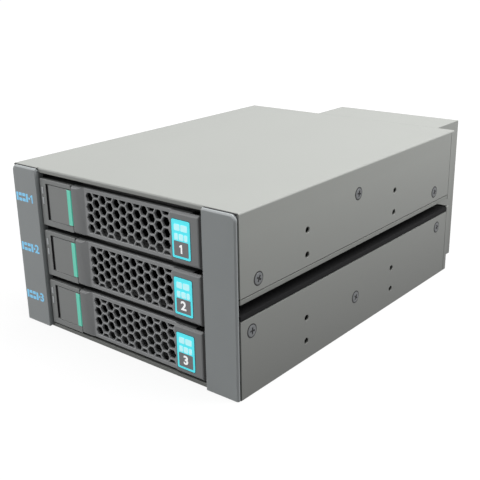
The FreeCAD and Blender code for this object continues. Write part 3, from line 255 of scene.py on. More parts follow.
def frosted(name, colour, gloss=0.35, glow=0.0):
    finish = Finish(name)
    cloud = finish.noise(0.0016, 2.0)
    tone = finish.blend(cloud, shade(colour, 0.93), shade(colour, 1.04))
    return finish.surface(tone, {"Roughness": gloss + 0.15 * cloud, "Specular IOR Level": 0.6,
                                 "Coat Weight": 0.25, "Emission Color": tone, "Emission Strength": glow})


def printedInk(name, colour, glow=0.0):
    # flat ink with a fine speck; a glow above zero is painted light, which makes the ink brighter than the lamps
    # light it
    finish = Finish(name)
    speck = finish.noise(0.0005, 3.0)
    tone = finish.blend(speck, shade(colour, 0.93), shade(colour, 1.05))
    return finish.surface(tone, {"Roughness": 0.38 + 0.2 * speck,
                                 "Normal": finish.bump(speck, 0.00001, 0.3),
                                 "Emission Color": tone, "Emission Strength": glow})


# ---- mesh helpers

def dressedPiece(name, mesh, body, material):
    piece = bpy.data.objects.new(name, mesh)
    bpy.context.collection.objects.link(piece)
    if not mesh.materials:
        mesh.materials.append(material)
    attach(piece, body)
    return piece


flush = math.radians(0.5)
widestRound = 62
sharpCorner = math.radians(25)


def meshFrom(shape, name):
    mesh = bpy.data.meshes.new(name)
    shape.to_mesh(mesh)
    shape.free()
    return mesh


def meshOfCurve(curve):
    holder = bpy.data.objects.new(curve.name, curve)
    bpy.context.collection.objects.link(holder)
    mesh = bpy.data.meshes.new_from_object(holder.evaluated_get(bpy.context.evaluated_depsgraph_get()))
    bpy.data.objects.remove(holder)
    return mesh


def cleaned(node):
    # the node's solid with its flat faces whole again
    shape = bmesh.new()
    shape.from_mesh(nodes[node].data)
    bmesh.ops.remove_doubles(shape, verts=shape.verts, dist=2e-6)
    bmesh.ops.dissolve_limit(shape, angle_limit=flush, verts=shape.verts, edges=shape.edges)
    shape.edges.index_update()
    return shape


def faceNormals(shape, turned, flow):
    # flat faces keep their own normals, curved ones flow, and a small round turns from one neighbour to
    # the next
    near, wide = math.cos(math.radians(flow)), math.cos(math.radians(widestRound))
    area = {face: face.calc_area() for face in shape.faces}

    def blended(faces, normal, limit):
        total = sum((area[f] * f.normal for f in faces if f.normal.dot(normal) > limit), Vector())
        return total.normalized() if total.length > 1e-12 else normal

    corners = []
    for face in shape.faces:
        for loop in face.loops:
            around = loop.vert.link_faces
            hosts = [f for f in around if f not in turned]
            if face in turned and hosts:
                host = max(hosts, key=lambda f: f.normal.dot(face.normal))
                close = host.normal.dot(face.normal) > wide
                corners.append(blended(hosts, host.normal, near) if close else face.normal.copy())
            elif face in turned:
                corners.append(blended(around, face.normal, wide))
            else:
                corners.append(blended(hosts, face.normal, near))
    return corners


def shadedMesh(shape, name, turned=(), flow=32):
    shape.normal_update()
    corners = faceNormals(shape, set(turned), flow)
    for face in shape.faces:
        face.smooth = True
    mesh = meshFrom(shape, name)
    mesh.normals_split_custom_set(corners)
    return mesh


def apartFrom(point, edge):
    a, b = (end.co for end in edge.verts)
    along = b - a
    share = max(0.0, min(1.0, (point - a).dot(along) / max(along.length_squared, 1e-18)))
    return (a + along * share - point).length


def flatRegions(shape):
    # the faces that lie flush together, in the order of their first face
    seen, regions = set(), []
    for first in shape.faces:
        if first in seen:
            continue
        seen.add(first)
        region = [first]
        for face in region:
            for edge in face.edges:
                if edge.is_manifold and edge.calc_face_angle() < flush:
                    fresh = [f for f in edge.link_faces if f not in seen]
                    seen.update(fresh)
                    region += fresh
        regions.append(region)
    return regions


def closeBy(region, sharp, room):
    # the sharp edges round a flat region that have less than this room beside them
    inside, rim = set(region), {}
    for face in region:
        rim.update((e, None) for e in face.edges if any(g not in inside for g in e.link_faces))
    spots = list(dict.fromkeys(v for e in rim for v in e.verts))
    places = numpy.array([v.co for v in spots])
    tight = set()
    for edge in rim:
        start = numpy.array(edge.verts[0].co)
        along = numpy.array(edge.verts[1].co) - start
        length = max(float(numpy.linalg.norm(along)), 1e-12)
        share = (places - start) @ along / length
        off = numpy.linalg.norm(places - start - numpy.outer(share, along / length), axis=1)
        for k in numpy.nonzero((share > room / 2) & (share < length - room / 2) & (off < room))[0]:
            beside = [e for e in spots[k].link_edges if e in rim and e.index in sharp]
            both = bool(beside) and edge.index in sharp
            if off[k] < (room if both else room / 2):
                tight.update(e.index for e in beside)
                tight.update([edge.index] if edge.index in sharp else [])
    return tight


# multiples of a round's width: the room that an edge needs, the room and breadth of a face that gets a
# border, how far a new corner may stray, and how near to a stray corner an edge is left sharp
rounding = {"room": 2.3, "clear": 5, "broad": 12, "stray": 0.8, "near": 1.5, "border": 2}


def softened(node, width):
    # the solid again with its edges broken by a small round, apart from those with no room for one
    whole = cleaned(node)
    reach = BVHTree.FromBMesh(whole)
    broad, tight = [], set()
    marked = {e.index for e in whole.edges if e.is_manifold and e.calc_face_angle() > sharpCorner}
    for region in flatRegions(whole):
        tight |= closeBy(region, marked, rounding["room"] * width)
        rim = sum(e.calc_length() for f in region for e in f.edges)
        wide = 2 * sum(f.calc_area() for f in region) > rounding["broad"] * width * rim
        if wide and not closeBy(region, marked, rounding["clear"] * width):
            broad.append(region)
    mark = whole.edges.layers.int.new("rounded")
    for edge in whole.edges:
        edge[mark] = edge.index in marked and edge.index not in tight
    for region in broad:
        # a narrow border round a broad face keeps the small twists of the rounding at its edge
        bmesh.ops.inset_region(whole, faces=region, thickness=rounding["border"] * width,
                                use_even_offset=True)
    whole.normal_update()
    whole.edges.index_update()
    sharp = [e.index for e in whole.edges if e[mark] and e.calc_face_angle() > sharpCorner]
    while True:
        shape = whole.copy()
        shape.edges.ensure_lookup_table()
        made = bmesh.ops.bevel(shape, geom=[shape.edges[i] for i in sharp], offset=width,
                               offset_type="OFFSET", segments=2, profile=0.5, affect="EDGES", clamp_overlap=False,
                               miter_outer="SHARP", loop_slide=True)
        stray = [reach.find_nearest(vert.co) for vert in shape.verts]
        stray = [found[0] for found in stray if found[3] > rounding["stray"] * width]
        whole.edges.ensure_lookup_table()
        near = rounding["near"] * width
        kept = [i for i in sharp if all(apartFrom(spot, whole.edges[i]) > near for spot in stray)]
        if len(kept) == len(sharp):
            break
        sharp = kept
        shape.free()
    whole.free()
    return shadedMesh(shape, node, made["faces"])


# ---- camera, floor and light

view = {
    "azimuth": 39.46, "elevation": 19.39, "roll": -1.04,
    "distance": 0.4512, "lens": 61.33, "aim": (-0.00065, -0.0221, 0.03305),
}


def placeCamera():
    turn, lift = math.radians(view["azimuth"]), math.radians(view["elevation"])
    back = Vector((math.sin(turn) * math.cos(lift), -math.cos(turn) * math.cos(lift), math.sin(lift)))
    camera = bpy.data.objects.new("camera", bpy.data.cameras.new("camera"))
    bpy.context.collection.objects.link(camera)
    camera.data.lens = view["lens"]
    camera.data.sensor_width = 36
    camera.data.clip_start = 0.01
    camera.rotation_mode = "QUATERNION"
    rolled = Matrix.Rotation(math.radians(view["roll"]), 3, "Z").to_quaternion()
    camera.rotation_quaternion = (-back).to_track_quat("-Z", "Y") @ rolled
    camera.location = Vector(view["aim"]) + back * view["distance"]
    bpy.context.scene.camera = camera


stage = {"reach": 6.0, "floorTone": 0.10, "floorGlow": (0.89, 1.0), "clear": (0.18, 0.55), "surround": 0.24}


def seenByEye(finish):
    # 1 for what the eye, a reflection or a glass sees directly
    seen = finish.node("ShaderNodeLightPath", {}, {}, "Is Camera Ray")
    for kind in ("Is Glossy Ray", "Is Transmission Ray"):
        seen = seen + finish.node("ShaderNodeLightPath", {}, {}, kind)
    return seen


def layFloor():
    # a pale floor that glows for the eye and so melts into the surround
    finish = Finish("paleFloor")
    matte = finish.node("ShaderNodeBsdfDiffuse", {}, {"Color": (*(stage["floorTone"],) * 3, 1.0)})
    away = finish.node("ShaderNodeVectorMath", {"operation": "LENGTH"}, {0: finish.place}, "Value")
    (near, far), (low, high) = stage["clear"], stage["floorGlow"]
    level = finish.node("ShaderNodeMapRange", {}, {"Value": away, "From Min": near, "From Max": far,
                                                   "To Min": low, "To Max": high})
    glow = finish.node("ShaderNodeEmission", {}, {"Strength": level * seenByEye(finish)})
    both = finish.node("ShaderNodeAddShader", {}, {0: matte, 1: glow})
    finish.node("ShaderNodeOutputMaterial", {}, {"Surface": both}, None)
    shape = bmesh.new()
    reach = stage["reach"]
    corners = [shape.verts.new((x * reach, y * reach, caseLow.z))
               for x, y in ((-1, -1), (1, -1), (1, 1), (-1, 1))]
    shape.faces.new(corners)
    floor = bpy.data.objects.new("floor", meshFrom(shape, "floor"))
    floor.data.materials.append(finish.material)
    bpy.context.collection.objects.link(floor)


def lightSurround():
    # white to the eye and to reflections, dim as a light
    world = bpy.data.worlds.new("surround")
    world.use_nodes = True
    bpy.context.scene.world = world
    tree = world.node_tree
    ray = tree.nodes.new("ShaderNodeLightPath")
    back = tree.nodes["Background"]
    level = tree.nodes.new("ShaderNodeMix")
    level.inputs[2].default_value = stage["surround"]
    level.inputs[3].default_value = 1.0
    seen = ray.outputs["Is Camera Ray"]
    for kind in ("Is Glossy Ray", "Is Transmission Ray"):
        added = tree.nodes.new("ShaderNodeMath")
        added.use_clamp = True
        tree.links.new(seen, added.inputs[0])
        tree.links.new(ray.outputs[kind], added.inputs[1])
        seen = added.outputs[0]
    tree.links.new(seen, level.inputs[0])
    tree.links.new(level.outputs[0], back.inputs["Strength"])
    back.inputs["Color"].default_value = (1.0, 1.0, 1.0, 1.0)


lamps = {
    "overhead": {"at": (0.22, 0.12, 1.14), "size": 1.1, "watts": 18.0},
    "front": {"at": (-0.85, -0.92, 0.50), "size": 0.8, "watts": 6.9},
    "side": {"at": (0.45, 0.22, 0.48), "size": 0.35, "watts": 2.0},
}


def hangLamps():
    for name, lamp in lamps.items():
        light = bpy.data.objects.new(name, bpy.data.lights.new(name, "AREA"))
        bpy.context.collection.objects.link(light)
        light.data.size = lamp["size"]
        light.data.energy = lamp["watts"]
        light.location = lamp["at"]
        light.rotation_euler = (-Vector(lamp["at"])).to_track_quat("-Z", "Y").to_euler()


placeCamera()
layFloor()
lightSurround()
hangLamps()
bpy.context.scene.view_settings.view_transform = "Standard"
print("camera, floor and lamps are in place")


# ---- the solids with their finishes

steelColour = (0.281, 0.289, 0.273)
frontFace, railLow = caseLow.y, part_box("mid_rail_left")[0][2]
leverEnd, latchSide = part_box("lever_3")[1][0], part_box("latch_3")[0][0]
redrawn = ("fan_rotor", "finger_guard", *(f"latch_spring_{tray}" for tray in trays))
# the places where a moulding's tone is painted darker or lighter, as painted shade and painted light: (axis,
# start, end, factor)
# painted shade: a few millimetres behind the front, the trays' and levers' plastic turns near black
recessShade = (1, frontFace + 0.0032, frontFace + 0.0041, 0.06)
# painted shade in the slot: the latch's leftmost half millimetre turns near black
latchEdgeShade = (0, latchSide + 0.0006, latchSide + 0.0005, 0.04)
leverRecessShade = (1, frontFace + 0.0037, frontFace + 0.0049, 0.06)
# painted shade in the gap: the lever's last 1.7 millimetres turn near black
leverGapShade = (0, leverEnd - 0.0019, leverEnd - 0.0017, 0.05)
# painted light: the honeycomb part of the lever is lighter, for the light its webs catch; past the block's edge
# the next factor takes most of it back
leverMeshLight = (0, leverEnd - 0.0750, leverEnd - 0.0745, 1.45)
leverBlock = (0, leverEnd - 0.0183, leverEnd - 0.0181, 0.72)
# painted shade in the side slot: the mid rails' channel and the lip below it turn near black
channel = {"colour": (0.005, 0.005, 0.0055), "edge": caseHigh.x - 0.0006, "lip": railLow + 0.0027}
finishes = {
    "painted_steel": paintedSteel("greyPowderCoat", steelColour),
    "channel": paintedSteel("channelPaint", steelColour, channel["colour"], channel["edge"],
                            channel["lip"]),
    "grey_plastic": mouldedPlastic("cheekPlastic", (0.328, 0.348, 0.352)),
    "tray_plastic": mouldedPlastic("trayPlastic", (0.256, 0.265, 0.261), lightAndShadeBands=[recessShade]),
    "latch": mouldedPlastic("latchPlastic", (0.269, 0.278, 0.274), lightAndShadeBands=[recessShade, latchEdgeShade]),
    "lever": mouldedPlastic("leverPlastic", (0.222, 0.227, 0.230),
                            lightAndShadeBands=[leverRecessShade, leverGapShade, leverMeshLight, leverBlock]),
    "black_plastic": mouldedPlastic("blackPlastic", (0.020, 0.020, 0.021), 0.5),
    "screw_steel": platedMetal("blackZinc", (0.155, 0.160, 0.165), 0.38),
    "spring_steel": platedMetal("springSteel", (0.60, 0.60, 0.60), 0.22),
    "guard_wire": platedMetal("brightWire", (0.50, 0.50, 0.51), 0.20),
    "circuit_board": circuitBoard("solderResist", (0.013, 0.075, 0.037)),
    "socket_plastic": mouldedPlastic("socketPlastic", (0.025, 0.025, 0.027), 0.45),
    "header_plastic": mouldedPlastic("headerPlastic", (0.72, 0.68, 0.58), 0.45),
    "gasket_rubber": mouldedPlastic("gasketFoam", (0.027, 0.027, 0.027), 0.8, 0.0008, 0.0001),
    "light_pipe": frosted("lightPipe", (0.525, 0.550, 0.562)),
    # painted light: the mint insert glows a little, though it is no lamp
    "mint_plastic": frosted("mintInsert", (0.10, 0.57, 0.42), 0.3, 0.36),
    "contact": platedMetal("goldContact", (0.85, 0.62, 0.28), 0.2),
    # painted shade: a near-black finish for the slot beside each latch, the gaps over the pillars and the screws'
    # crosses and seat rings
    "pit": mouldedPlastic("darkSlot", (0.010, 0.010, 0.011), 0.6),
    # painted light: the cyan, pale, white and blue inks glow, though they are no lamps
    "cyanInk": printedInk("cyanInk", (0.09, 0.76, 0.85), 0.52),
    "tealInk": printedInk("tealInk", (0.037, 0.163, 0.181)),
    "paleInk": printedInk("paleInk", (0.50, 0.89, 0.93), 0.50),
    "whiteInk": printedInk("whiteInk", (0.88, 0.90, 0.90), 0.55),
    "greyInk": printedInk("greyInk", (0.256, 0.250, 0.256)),
    "blueInk": printedInk("blueInk", (0.22, 0.58, 0.86), 0.38),
}
rounds = {
    "painted_steel": 0.00018, "grey_plastic": 0.00028, "tray_plastic": 0.00024, "black_plastic": 0.00020,
    "mint_plastic": 0.00018, "light_pipe": 0.00015, "circuit_board": 0.00008, "socket_plastic": 0.00015,
    "header_plastic": 0.00015, "latch": 0.00010, "lever": 0.00036,
}


def liftTo(node, like):
    # how far a tray's piece lies above the same piece of another tray
    return Matrix.Translation(Vector(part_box(node)[0]) - Vector(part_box(like)[0]))


latchSlot = {"width": 0.00155, "near": 0.0003}
insertWidening = 1.4
ownFinish = {"mid_rail": "channel", "lever": "lever", "latch": "latch"}


def slotSide(mesh):
    # painted shade: the side of a bezel's frame that shows beside its latch is in the near-black finish, for the
    # shadow in the slot
    side = latchSide - latchSlot["width"]
    mesh.materials.append(finishes["tray_plastic"])
    mesh.materials.append(finishes["pit"])
    for face in mesh.polygons:
        if face.normal.x > 0.7 and abs(face.center.x - side) < latchSlot["near"]:
            face.material_index = 1


def widened(mesh, factor):
    middle = sum(vert.co.x for vert in mesh.vertices) / len(mesh.vertices)
    slide = Matrix.Translation((middle, 0, 0))
    mesh.transform(slide @ Matrix.Diagonal((factor, 1, 1, 1)) @ slide.inverted())


def familyOf(node):
    # the trays' pieces are alike, and so share one drawing, made from the lowest tray
    stem, _, number = node.rpartition("_")
    return stem if number in ("1", "2", "3") else node


def finishSolids():
    drawn = {}
    # in reverse, so that tray 3 comes first
    for node, solid in sorted(nodes.items(), reverse=True):
        kind = slotOf[node]
        if kind not in rounds or node in redrawn:
            for holder in solid.material_slots:
                holder.material = finishes[kind]
            continue
        family = familyOf(node)
        if family not in drawn:
            drawn[family] = node, softened(node, rounds.get(family, rounds[kind]))
            if family == "latch_stripe":
                widened(drawn[family][1], insertWidening)
            if family == "tray_bezel":
                slotSide(drawn[family][1])
        like, mesh = drawn[family]
        mesh = mesh.copy()
        mesh.transform(liftTo(node, like))
        material = finishes[ownFinish.get(node.rsplit("_", 1)[0], kind)]
        piece = dressedPiece(f"{node}_dressed", mesh, bodyOf[node], material)
        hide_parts(node)


finishSolids()
print("solids are dressed")


# ---- labels and marks: thin inlays on faces that look forward

def roundedOutline(left, right, low, high, corner, steps=5):
    points = []
    for x, z, first in ((right, high, 0), (left, high, 90), (left, low, 180), (right, low, 270)):
        inX, inZ = x + (corner if x == left else -corner), z + (corner if z == low else -corner)
        for step in range(steps + 1):
            turn = math.radians(first + 90 * step / steps)
            points.append((inX + corner * math.cos(turn), inZ + corner * math.sin(turn)))
    return points


def inlay(outline, back, front):
    # a plate between two depths, seen from the front
    shape = bmesh.new()
    rings = [[shape.verts.new((x, y, z)) for x, z in outline] for y in (back, front)]
    shape.faces.new(rings[1])
    shape.faces.new(rings[0][::-1])
    for i, corner in enumerate(rings[0]):
        j = (i + 1) % len(outline)
        shape.faces.new((corner, rings[0][j], rings[1][j], rings[1][i]))
    bmesh.ops.recalc_face_normals(shape, faces=shape.faces)
    return meshFrom(shape, "inlay")


digits = {
    "capHeight": 0.69, "bold": 0.00016, "stretch": 1.12,
    "one": ((-0.05, -0.5), (0.15, -0.5), (0.15, 0.5), (0.0, 0.5), (-0.26, 0.32), (-0.19, 0.15),
            (-0.05, 0.24)),
}


def numeral(text, height, place, thick):
    # a digit made mesh, upright on a plane that looks forward
    if text == "1":
        # a stem with a flag, so that it doesn't read as a bar
        return inlay([(place.x + x * height, place.z + z * height) for x, z in digits["one"]],
                     place.y + thick / 2, place.y - thick / 2)
    curve = bpy.data.curves.new("numeral", "FONT")
    curve.body = text
    curve.size = height / digits["capHeight"]
    curve.align_x = "CENTER"
    curve.align_y = "CENTER"
    curve.extrude = thick / 2
    curve.offset = digits["bold"]
    curve.resolution_u = 6
    mesh = meshOfCurve(curve)
    stand = Matrix.Rotation(math.radians(90), 4, "X")
    mesh.transform(Matrix.Translation(place) @ stand @ Matrix.Diagonal((digits["stretch"], 1.0, 1.0, 1.0)))
    return mesh


def joined(meshes, name):
    shape = bmesh.new()
    for mesh in meshes:
        shape.from_mesh(mesh)
    return meshFrom(shape, name)


label = {
    "left": 0.0360, "right": 0.0465, "low": 0.0028, "high": 0.0203, "corner": 0.0007,
    "line": 0.00030, "frame": 0.00105, "split": 0.45, "digit": 0.0040, "thick": 0.00008,
    "sunk": 0.0001, "fieldCorner": 0.0004, "bar": 0.0029, "barCorner": 0.0005,
}
# each row's drop below the frame, then the start and end of its bars, as shares
barRows = ((0.10, (0.14, 0.45), (0.50, 0.86)), (0.54, (0.14, 0.34), (0.39, 0.64), (0.69, 0.86)))


def labelFor(tray):
    base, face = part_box(f"lever_{tray}")[0][2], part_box(f"lever_{tray}")[0][1]
    left, right, low, high = label["left"], label["right"], base + label["low"], base + label["high"]
    line, frame, thick = label["line"], label["frame"], label["thick"]
    split = low + (high - low) * label["split"]
    lever, slot = f"lever_{tray}", "tray_plastic"
    layers = {
        "edge": (roundedOutline(left - line, right + line, low - line, high + line,
                                label["corner"] + line), 1),
        "colour": (roundedOutline(left, right, low, high, label["corner"]), 2),
        "field": (roundedOutline(left + frame, right - frame, low + frame, split,
                                  label["fieldCorner"]), 3),
    }
    finishOf = {"edge": "tealInk", "colour": "cyanInk", "field": "greyInk"}
    for name, (outline, level) in layers.items():
        mesh = inlay(outline, face + label["sunk"], face - thick * level)
        dressedPiece(f"label_{name}_{tray}", mesh, lever, finishes[finishOf[name]])
    bars = []
    for drop, *spans in barRows:
        top = high - frame - drop * (high - split)
        for start, end in spans:
            at, to = left + start * (right - left), left + end * (right - left)
            outline = roundedOutline(at, to, top - label["bar"], top, label["barCorner"], 3)
            bars.append(inlay(outline, face, face - 3 * thick))
    middle = Vector(((left + right) / 2, face - 3.6 * thick, (low + frame + split) / 2))
    digit = numeral(str(tray), label["digit"], middle, thick)
    dressedPiece(f"label_bars_{tray}", joined(bars, "bars"), lever, finishes["paleInk"])
    dressedPiece(f"label_digit_{tray}", digit, lever, finishes["whiteInk"])


pillarMark = {
    "left": -0.0710, "right": -0.0575, "height": 0.0043, "thick": 0.00006, "rise": 0.0125, "digit": 0.91,
    "corner": 0.00018, "sunk": 0.00005,
    # each stroke's start and end across the mark, and its underside and top in half heights
    "strokes": ((0.00, 0.11, -1, 1), (0.15, 0.32, -1, -0.28), (0.15, 0.32, 0.28, 1),
                (0.36, 0.53, -1, -0.28), (0.36, 0.53, 0.28, 1), (0.57, 0.68, -1, 1),
                (0.72, 0.80, -0.25, 0.25)),
}


def markFor(tray):
    # a row of short strokes and the bay's number, printed beside its bay
    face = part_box("front_pillar_left")[0][1]
    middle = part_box(f"lever_{tray}")[0][2] + pillarMark["rise"]
    left, thick = pillarMark["left"], pillarMark["thick"]
    width, half = pillarMark["right"] - left, pillarMark["height"] / 2
    strokes = []
    for start, end, low, high in pillarMark["strokes"]:
        outline = roundedOutline(left + start * width, left + end * width, middle + low * half,
                                 middle + high * half, pillarMark["corner"], 2)
        strokes.append(inlay(outline, face + pillarMark["sunk"], face - thick))
    place = Vector((left + pillarMark["digit"] * width, face - thick / 2, middle))
    strokes.append(numeral(str(tray), pillarMark["height"], place, thick))
    dressedPiece(f"bay_mark_{tray}", joined(strokes, "mark"), "cage", finishes["blueInk"])


for tray in trays:
    labelFor(tray)
    markFor(tray)
print("labels and marks are on")


gapShade = {"inset": 0.0003, "sunk": 0.0002, "proud": 0.00015, "corner": 0.00005, "width": 0.00055}


def seamOver(side):
    # painted shade: a near-black strip for the shadow in the gap between a front pillar's top and the cover's
    # front edge
    low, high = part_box(f"front_pillar_{side}")
    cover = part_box("top_cover")[0][1]
    outline = roundedOutline(low[0] + gapShade["inset"], high[0] - gapShade["inset"], high[2] - gapShade["sunk"],
                             high[2] + gapShade["proud"], gapShade["corner"], 2)
    mesh = inlay(outline, cover, cover - gapShade["width"])
    dressedPiece(f"pillar_seam_{side}", mesh, "cage", finishes["pit"])


for side in ("left", "right"):
    seamOver(side)


# ---- screws: cross-slotted heads repeated by one node tree

def repeatTree():
    tree = bpy.data.node_groups.new("repeatOnPoints", "GeometryNodeTree")
    for name, kind in (("Geometry", "NodeSocketGeometry"), ("Copy", "NodeSocketObject"),
                       ("Finish", "NodeSocketMaterial"), ("Roll", "NodeSocketFloat"),
                       ("Seed", "NodeSocketInt")):
        tree.interface.new_socket(name, in_out="INPUT", socket_type=kind)
    tree.interface.new_socket("Geometry", in_out="OUTPUT", socket_type="NodeSocketGeometry")
    made = {}
    for name, kind in (("given", "NodeGroupInput"), ("points", "GeometryNodeMeshToPoints"),
                       ("turn", "GeometryNodeInputNamedAttribute"),
                       ("size", "GeometryNodeInputNamedAttribute"),
                       ("copy", "GeometryNodeObjectInfo"), ("random", "FunctionNodeRandomValue"),
                       ("angle", "ShaderNodeCombineXYZ"), ("aim", "FunctionNodeRotateRotation"),
                       ("place", "GeometryNodeInstanceOnPoints"), ("real", "GeometryNodeRealizeInstances"),
                       ("dress", "GeometryNodeSetMaterial"), ("result", "NodeGroupOutput")):
        made[name] = tree.nodes.new(kind)
    made["turn"].data_type = made["size"].data_type = "FLOAT_VECTOR"
    made["turn"].inputs["Name"].default_value = "turn"
    made["size"].inputs["Name"].default_value = "size"
    made["aim"].rotation_space = "LOCAL"
    given = made["given"].outputs
    for source, (name, socket) in (
            (given["Geometry"], ("points", "Mesh")), (given["Copy"], ("copy", "Object")),
            (given["Roll"], ("random", 3)), (given["Seed"], ("random", "Seed")),
            (made["random"].outputs[1], ("angle", "Z")), (made["turn"].outputs[0], ("aim", 0)),
            (made["angle"].outputs[0], ("aim", 1)), (made["points"].outputs[0], ("place", "Points")),
            (made["copy"].outputs["Geometry"], ("place", "Instance")),
            (made["aim"].outputs[0], ("place", "Rotation")),
            (made["size"].outputs[0], ("place", "Scale")), (made["place"].outputs[0], ("real", 0)),
            (made["real"].outputs[0], ("dress", "Geometry")), (given["Finish"], ("dress", "Material")),
            (made["dress"].outputs[0], ("result", 0))):
        tree.links.new(source, made[name].inputs[socket])
    return tree


repeatSeed = 3


def repeated(name, pattern, spots, body, finish, roll=0.0):
    # spots are (place, turn, size); the copies come back as one plain mesh
    cloud = bpy.data.meshes.new(name)
    places, turns, sizes = zip(*spots)
    cloud.from_pydata([tuple(place) for place in places], [], [])
    for key, values in (("turn", turns), ("size", sizes)):
        layer = cloud.attributes.new(key, "FLOAT_VECTOR", "POINT")
        layer.data.foreach_set("vector", [number for value in values for number in value])
    host, copy = bpy.data.objects.new(name, cloud), bpy.data.objects.new("pattern", pattern)
    for thing in (host, copy):
        bpy.context.collection.objects.link(thing)
    modifier = host.modifiers.new("repeat", "NODES")
    modifier.node_group = tree = bpy.data.node_groups.get("repeatOnPoints") or repeatTree()
    wanted = {"Copy": copy, "Finish": finishes[finish], "Roll": roll, "Seed": repeatSeed}
    for item in tree.interface.items_tree:
        if item.in_out == "INPUT" and item.name in wanted:
            modifier[item.identifier] = wanted[item.name]
    mesh = bpy.data.meshes.new_from_object(host.evaluated_get(bpy.context.evaluated_depsgraph_get()))
    for thing in (host, copy):
        bpy.data.objects.remove(thing)
    return dressedPiece(name, mesh, body, finishes[finish])


def lathed(profile, name, steps=32):
    # turn (radius, height) pairs about Z; a radius of zero closes the end
    shape = bmesh.new()
    rings = []
    for radius, height in profile:
        if radius == 0:
            rings.append([shape.verts.new((0, 0, height))])
        else:
            turns = [math.tau * i / steps for i in range(steps)]
            rings.append([shape.verts.new((radius * math.cos(t), radius * math.sin(t), height))
                          for t in turns])
    for low, high in zip(rings, rings[1:]):
        for i in range(steps):
            j = (i + 1) % steps
            corners = [low[i % len(low)], low[j % len(low)], high[j % len(high)], high[i % len(high)]]
            shape.faces.new(list(dict.fromkeys(corners)))
    bmesh.ops.recalc_face_normals(shape, faces=shape.faces)
    return shadedMesh(shape, name)


head = {
    "profile": ((1.0, -0.6), (1.0, 0.35), (0.94, 0.72), (0.80, 0.94), (0.66, 1.0)),
    "steps": 32, "arm": 0.60, "wide": 0.16, "pitTaper": 0.72,
}


def screwHead(rise):
    # a head of unit radius whose top has a cross cut through it, on a low rim
    shape = bmesh.new()
    steps, arm, wide = head["steps"], head["arm"], head["wide"]
    turns = [math.tau * i / steps for i in range(steps)]
    rings = [[shape.verts.new((r * math.cos(t), r * math.sin(t), z * rise)) for t in turns]
             for r, z in head["profile"]]
    for low, high in zip(rings, rings[1:]):
        for i in range(steps):
            j = (i + 1) % steps
            shape.faces.new((low[i], low[j], high[j], high[i]))
    corners = [(arm, -wide), (arm, wide), (wide, wide), (wide, arm), (-wide, arm), (-wide, wide),
               (-arm, wide), (-arm, -wide), (-wide, -wide), (-wide, -arm), (wide, -arm), (wide, -wide)]
    cross = [shape.verts.new((x, y, rise)) for x, y in corners]
    rims = [shape.edges.new(pair) for pair in zip(cross, cross[1:] + cross[:1])]
    rims += [shape.edges.get((rings[-1][i], rings[-1][(i + 1) % steps])) for i in range(steps)]
    bmesh.ops.triangle_fill(shape, edges=rims, use_beauty=True, normal=(0, 0, 1))
    return shadedMesh(shape, "head"), corners


def crossPit(corners, rise, depth):
    shape = bmesh.new()
    top = [shape.verts.new((x, y, rise)) for x, y in corners]
    taper = head["pitTaper"]
    floor = [shape.verts.new((x * taper, y * taper, rise - depth)) for x, y in corners]
    for i in range(len(corners)):
        j = (i + 1) % len(corners)
        shape.faces.new((top[j], top[i], floor[i], floor[j]))
    shape.faces.new(floor)
    return meshFrom(shape, "pit")


aims = {"+x": Euler((0, math.radians(90), 0)), "-x": Euler((0, math.radians(-90), 0)),
        "+y": Euler((math.radians(-90), 0, 0)), "-y": Euler((math.radians(90), 0, 0))}


def solidBoxes(node):
    # the box of each separate solid of a node
    shape = cleaned(node)
    seen, found = set(), []
    for first in shape.verts:
        if first in seen:
            continue
        seen.add(first)
        group = [first]
        for vert in group:
            fresh = [e.other_vert(vert) for e in vert.link_edges if e.other_vert(vert) not in seen]
            seen.update(fresh)
            group += dict.fromkeys(fresh)
        found.append(tuple(Vector(pick(v.co[k] for v in group) for k in range(3)) for pick in (min, max)))
    shape.free()
    return found


screws = {
    "side_screws": {"radius": 0.00265, "rise": 0.00035, "slot": 0.00030, "ring": (0.00255, 0.00330)},
    "rear_panel_screws": {"radius": 0.00260, "rise": 0.00185, "slot": 0.00022, "ring": None},
    "board_screws": {"radius": 0.00260, "rise": 0.00185, "slot": 0.00022, "ring": None},
    "fan_screws": {"radius": 0.00320, "rise": 0.00225, "slot": 0.00022, "ring": None},
}
screwRoll = 1.5


headLift = 0.00025


def outwardFace(low, high, node):
    # which way a screw's head looks, and the middle of the seat it stands on
    middle = (low + high) / 2
    if node == "side_screws":
        side = 1 if middle.x > 0 else -1
        return f"{'+' if side > 0 else '-'}x", Vector((side * caseHigh.x, middle.y, middle.z))
    depth = screws[node]["rise"] - headLift
    if node == "board_screws":
        return "-y", Vector((middle.x, low.y + depth, middle.z))
    return "+y", Vector((middle.x, high.y - depth, middle.z))


def screwsOn(node):
    sizes = screws[node]
    radius, rise = sizes["radius"], sizes["rise"] / sizes["radius"]
    top, corners = screwHead(rise)
    pit = crossPit(corners, rise, sizes["slot"] / radius)
    spots = []
    for low, high in solidBoxes(node):
        aim, seat = outwardFace(low, high, node)
        spots.append((seat, tuple(aims[aim]), (radius,) * 3))
    # painted shade: the crosses are near black, and where a ring is given, so is a ring round the head, for the
    # shadow in the countersink
    parts = [("heads", top, "screw_steel"), ("slots", pit, "pit")]
    if sizes["ring"]:
        inner, outer = (edge / radius for edge in sizes["ring"])
        ring = [(inner, -0.2), (inner, 0.03), (outer - 0.05, 0.03), (outer, 0.0), (outer, -0.02)]
        parts.append(("seats", lathed(ring, "seat"), "pit"))
    for name, pattern, finish in parts:
        repeated(f"{node}_{name}", pattern, spots, "cage", finish, screwRoll)


for node in screws:
    screwsOn(node)
print("screw heads are on")


# ---- the fan: moulded rotor and wire guard

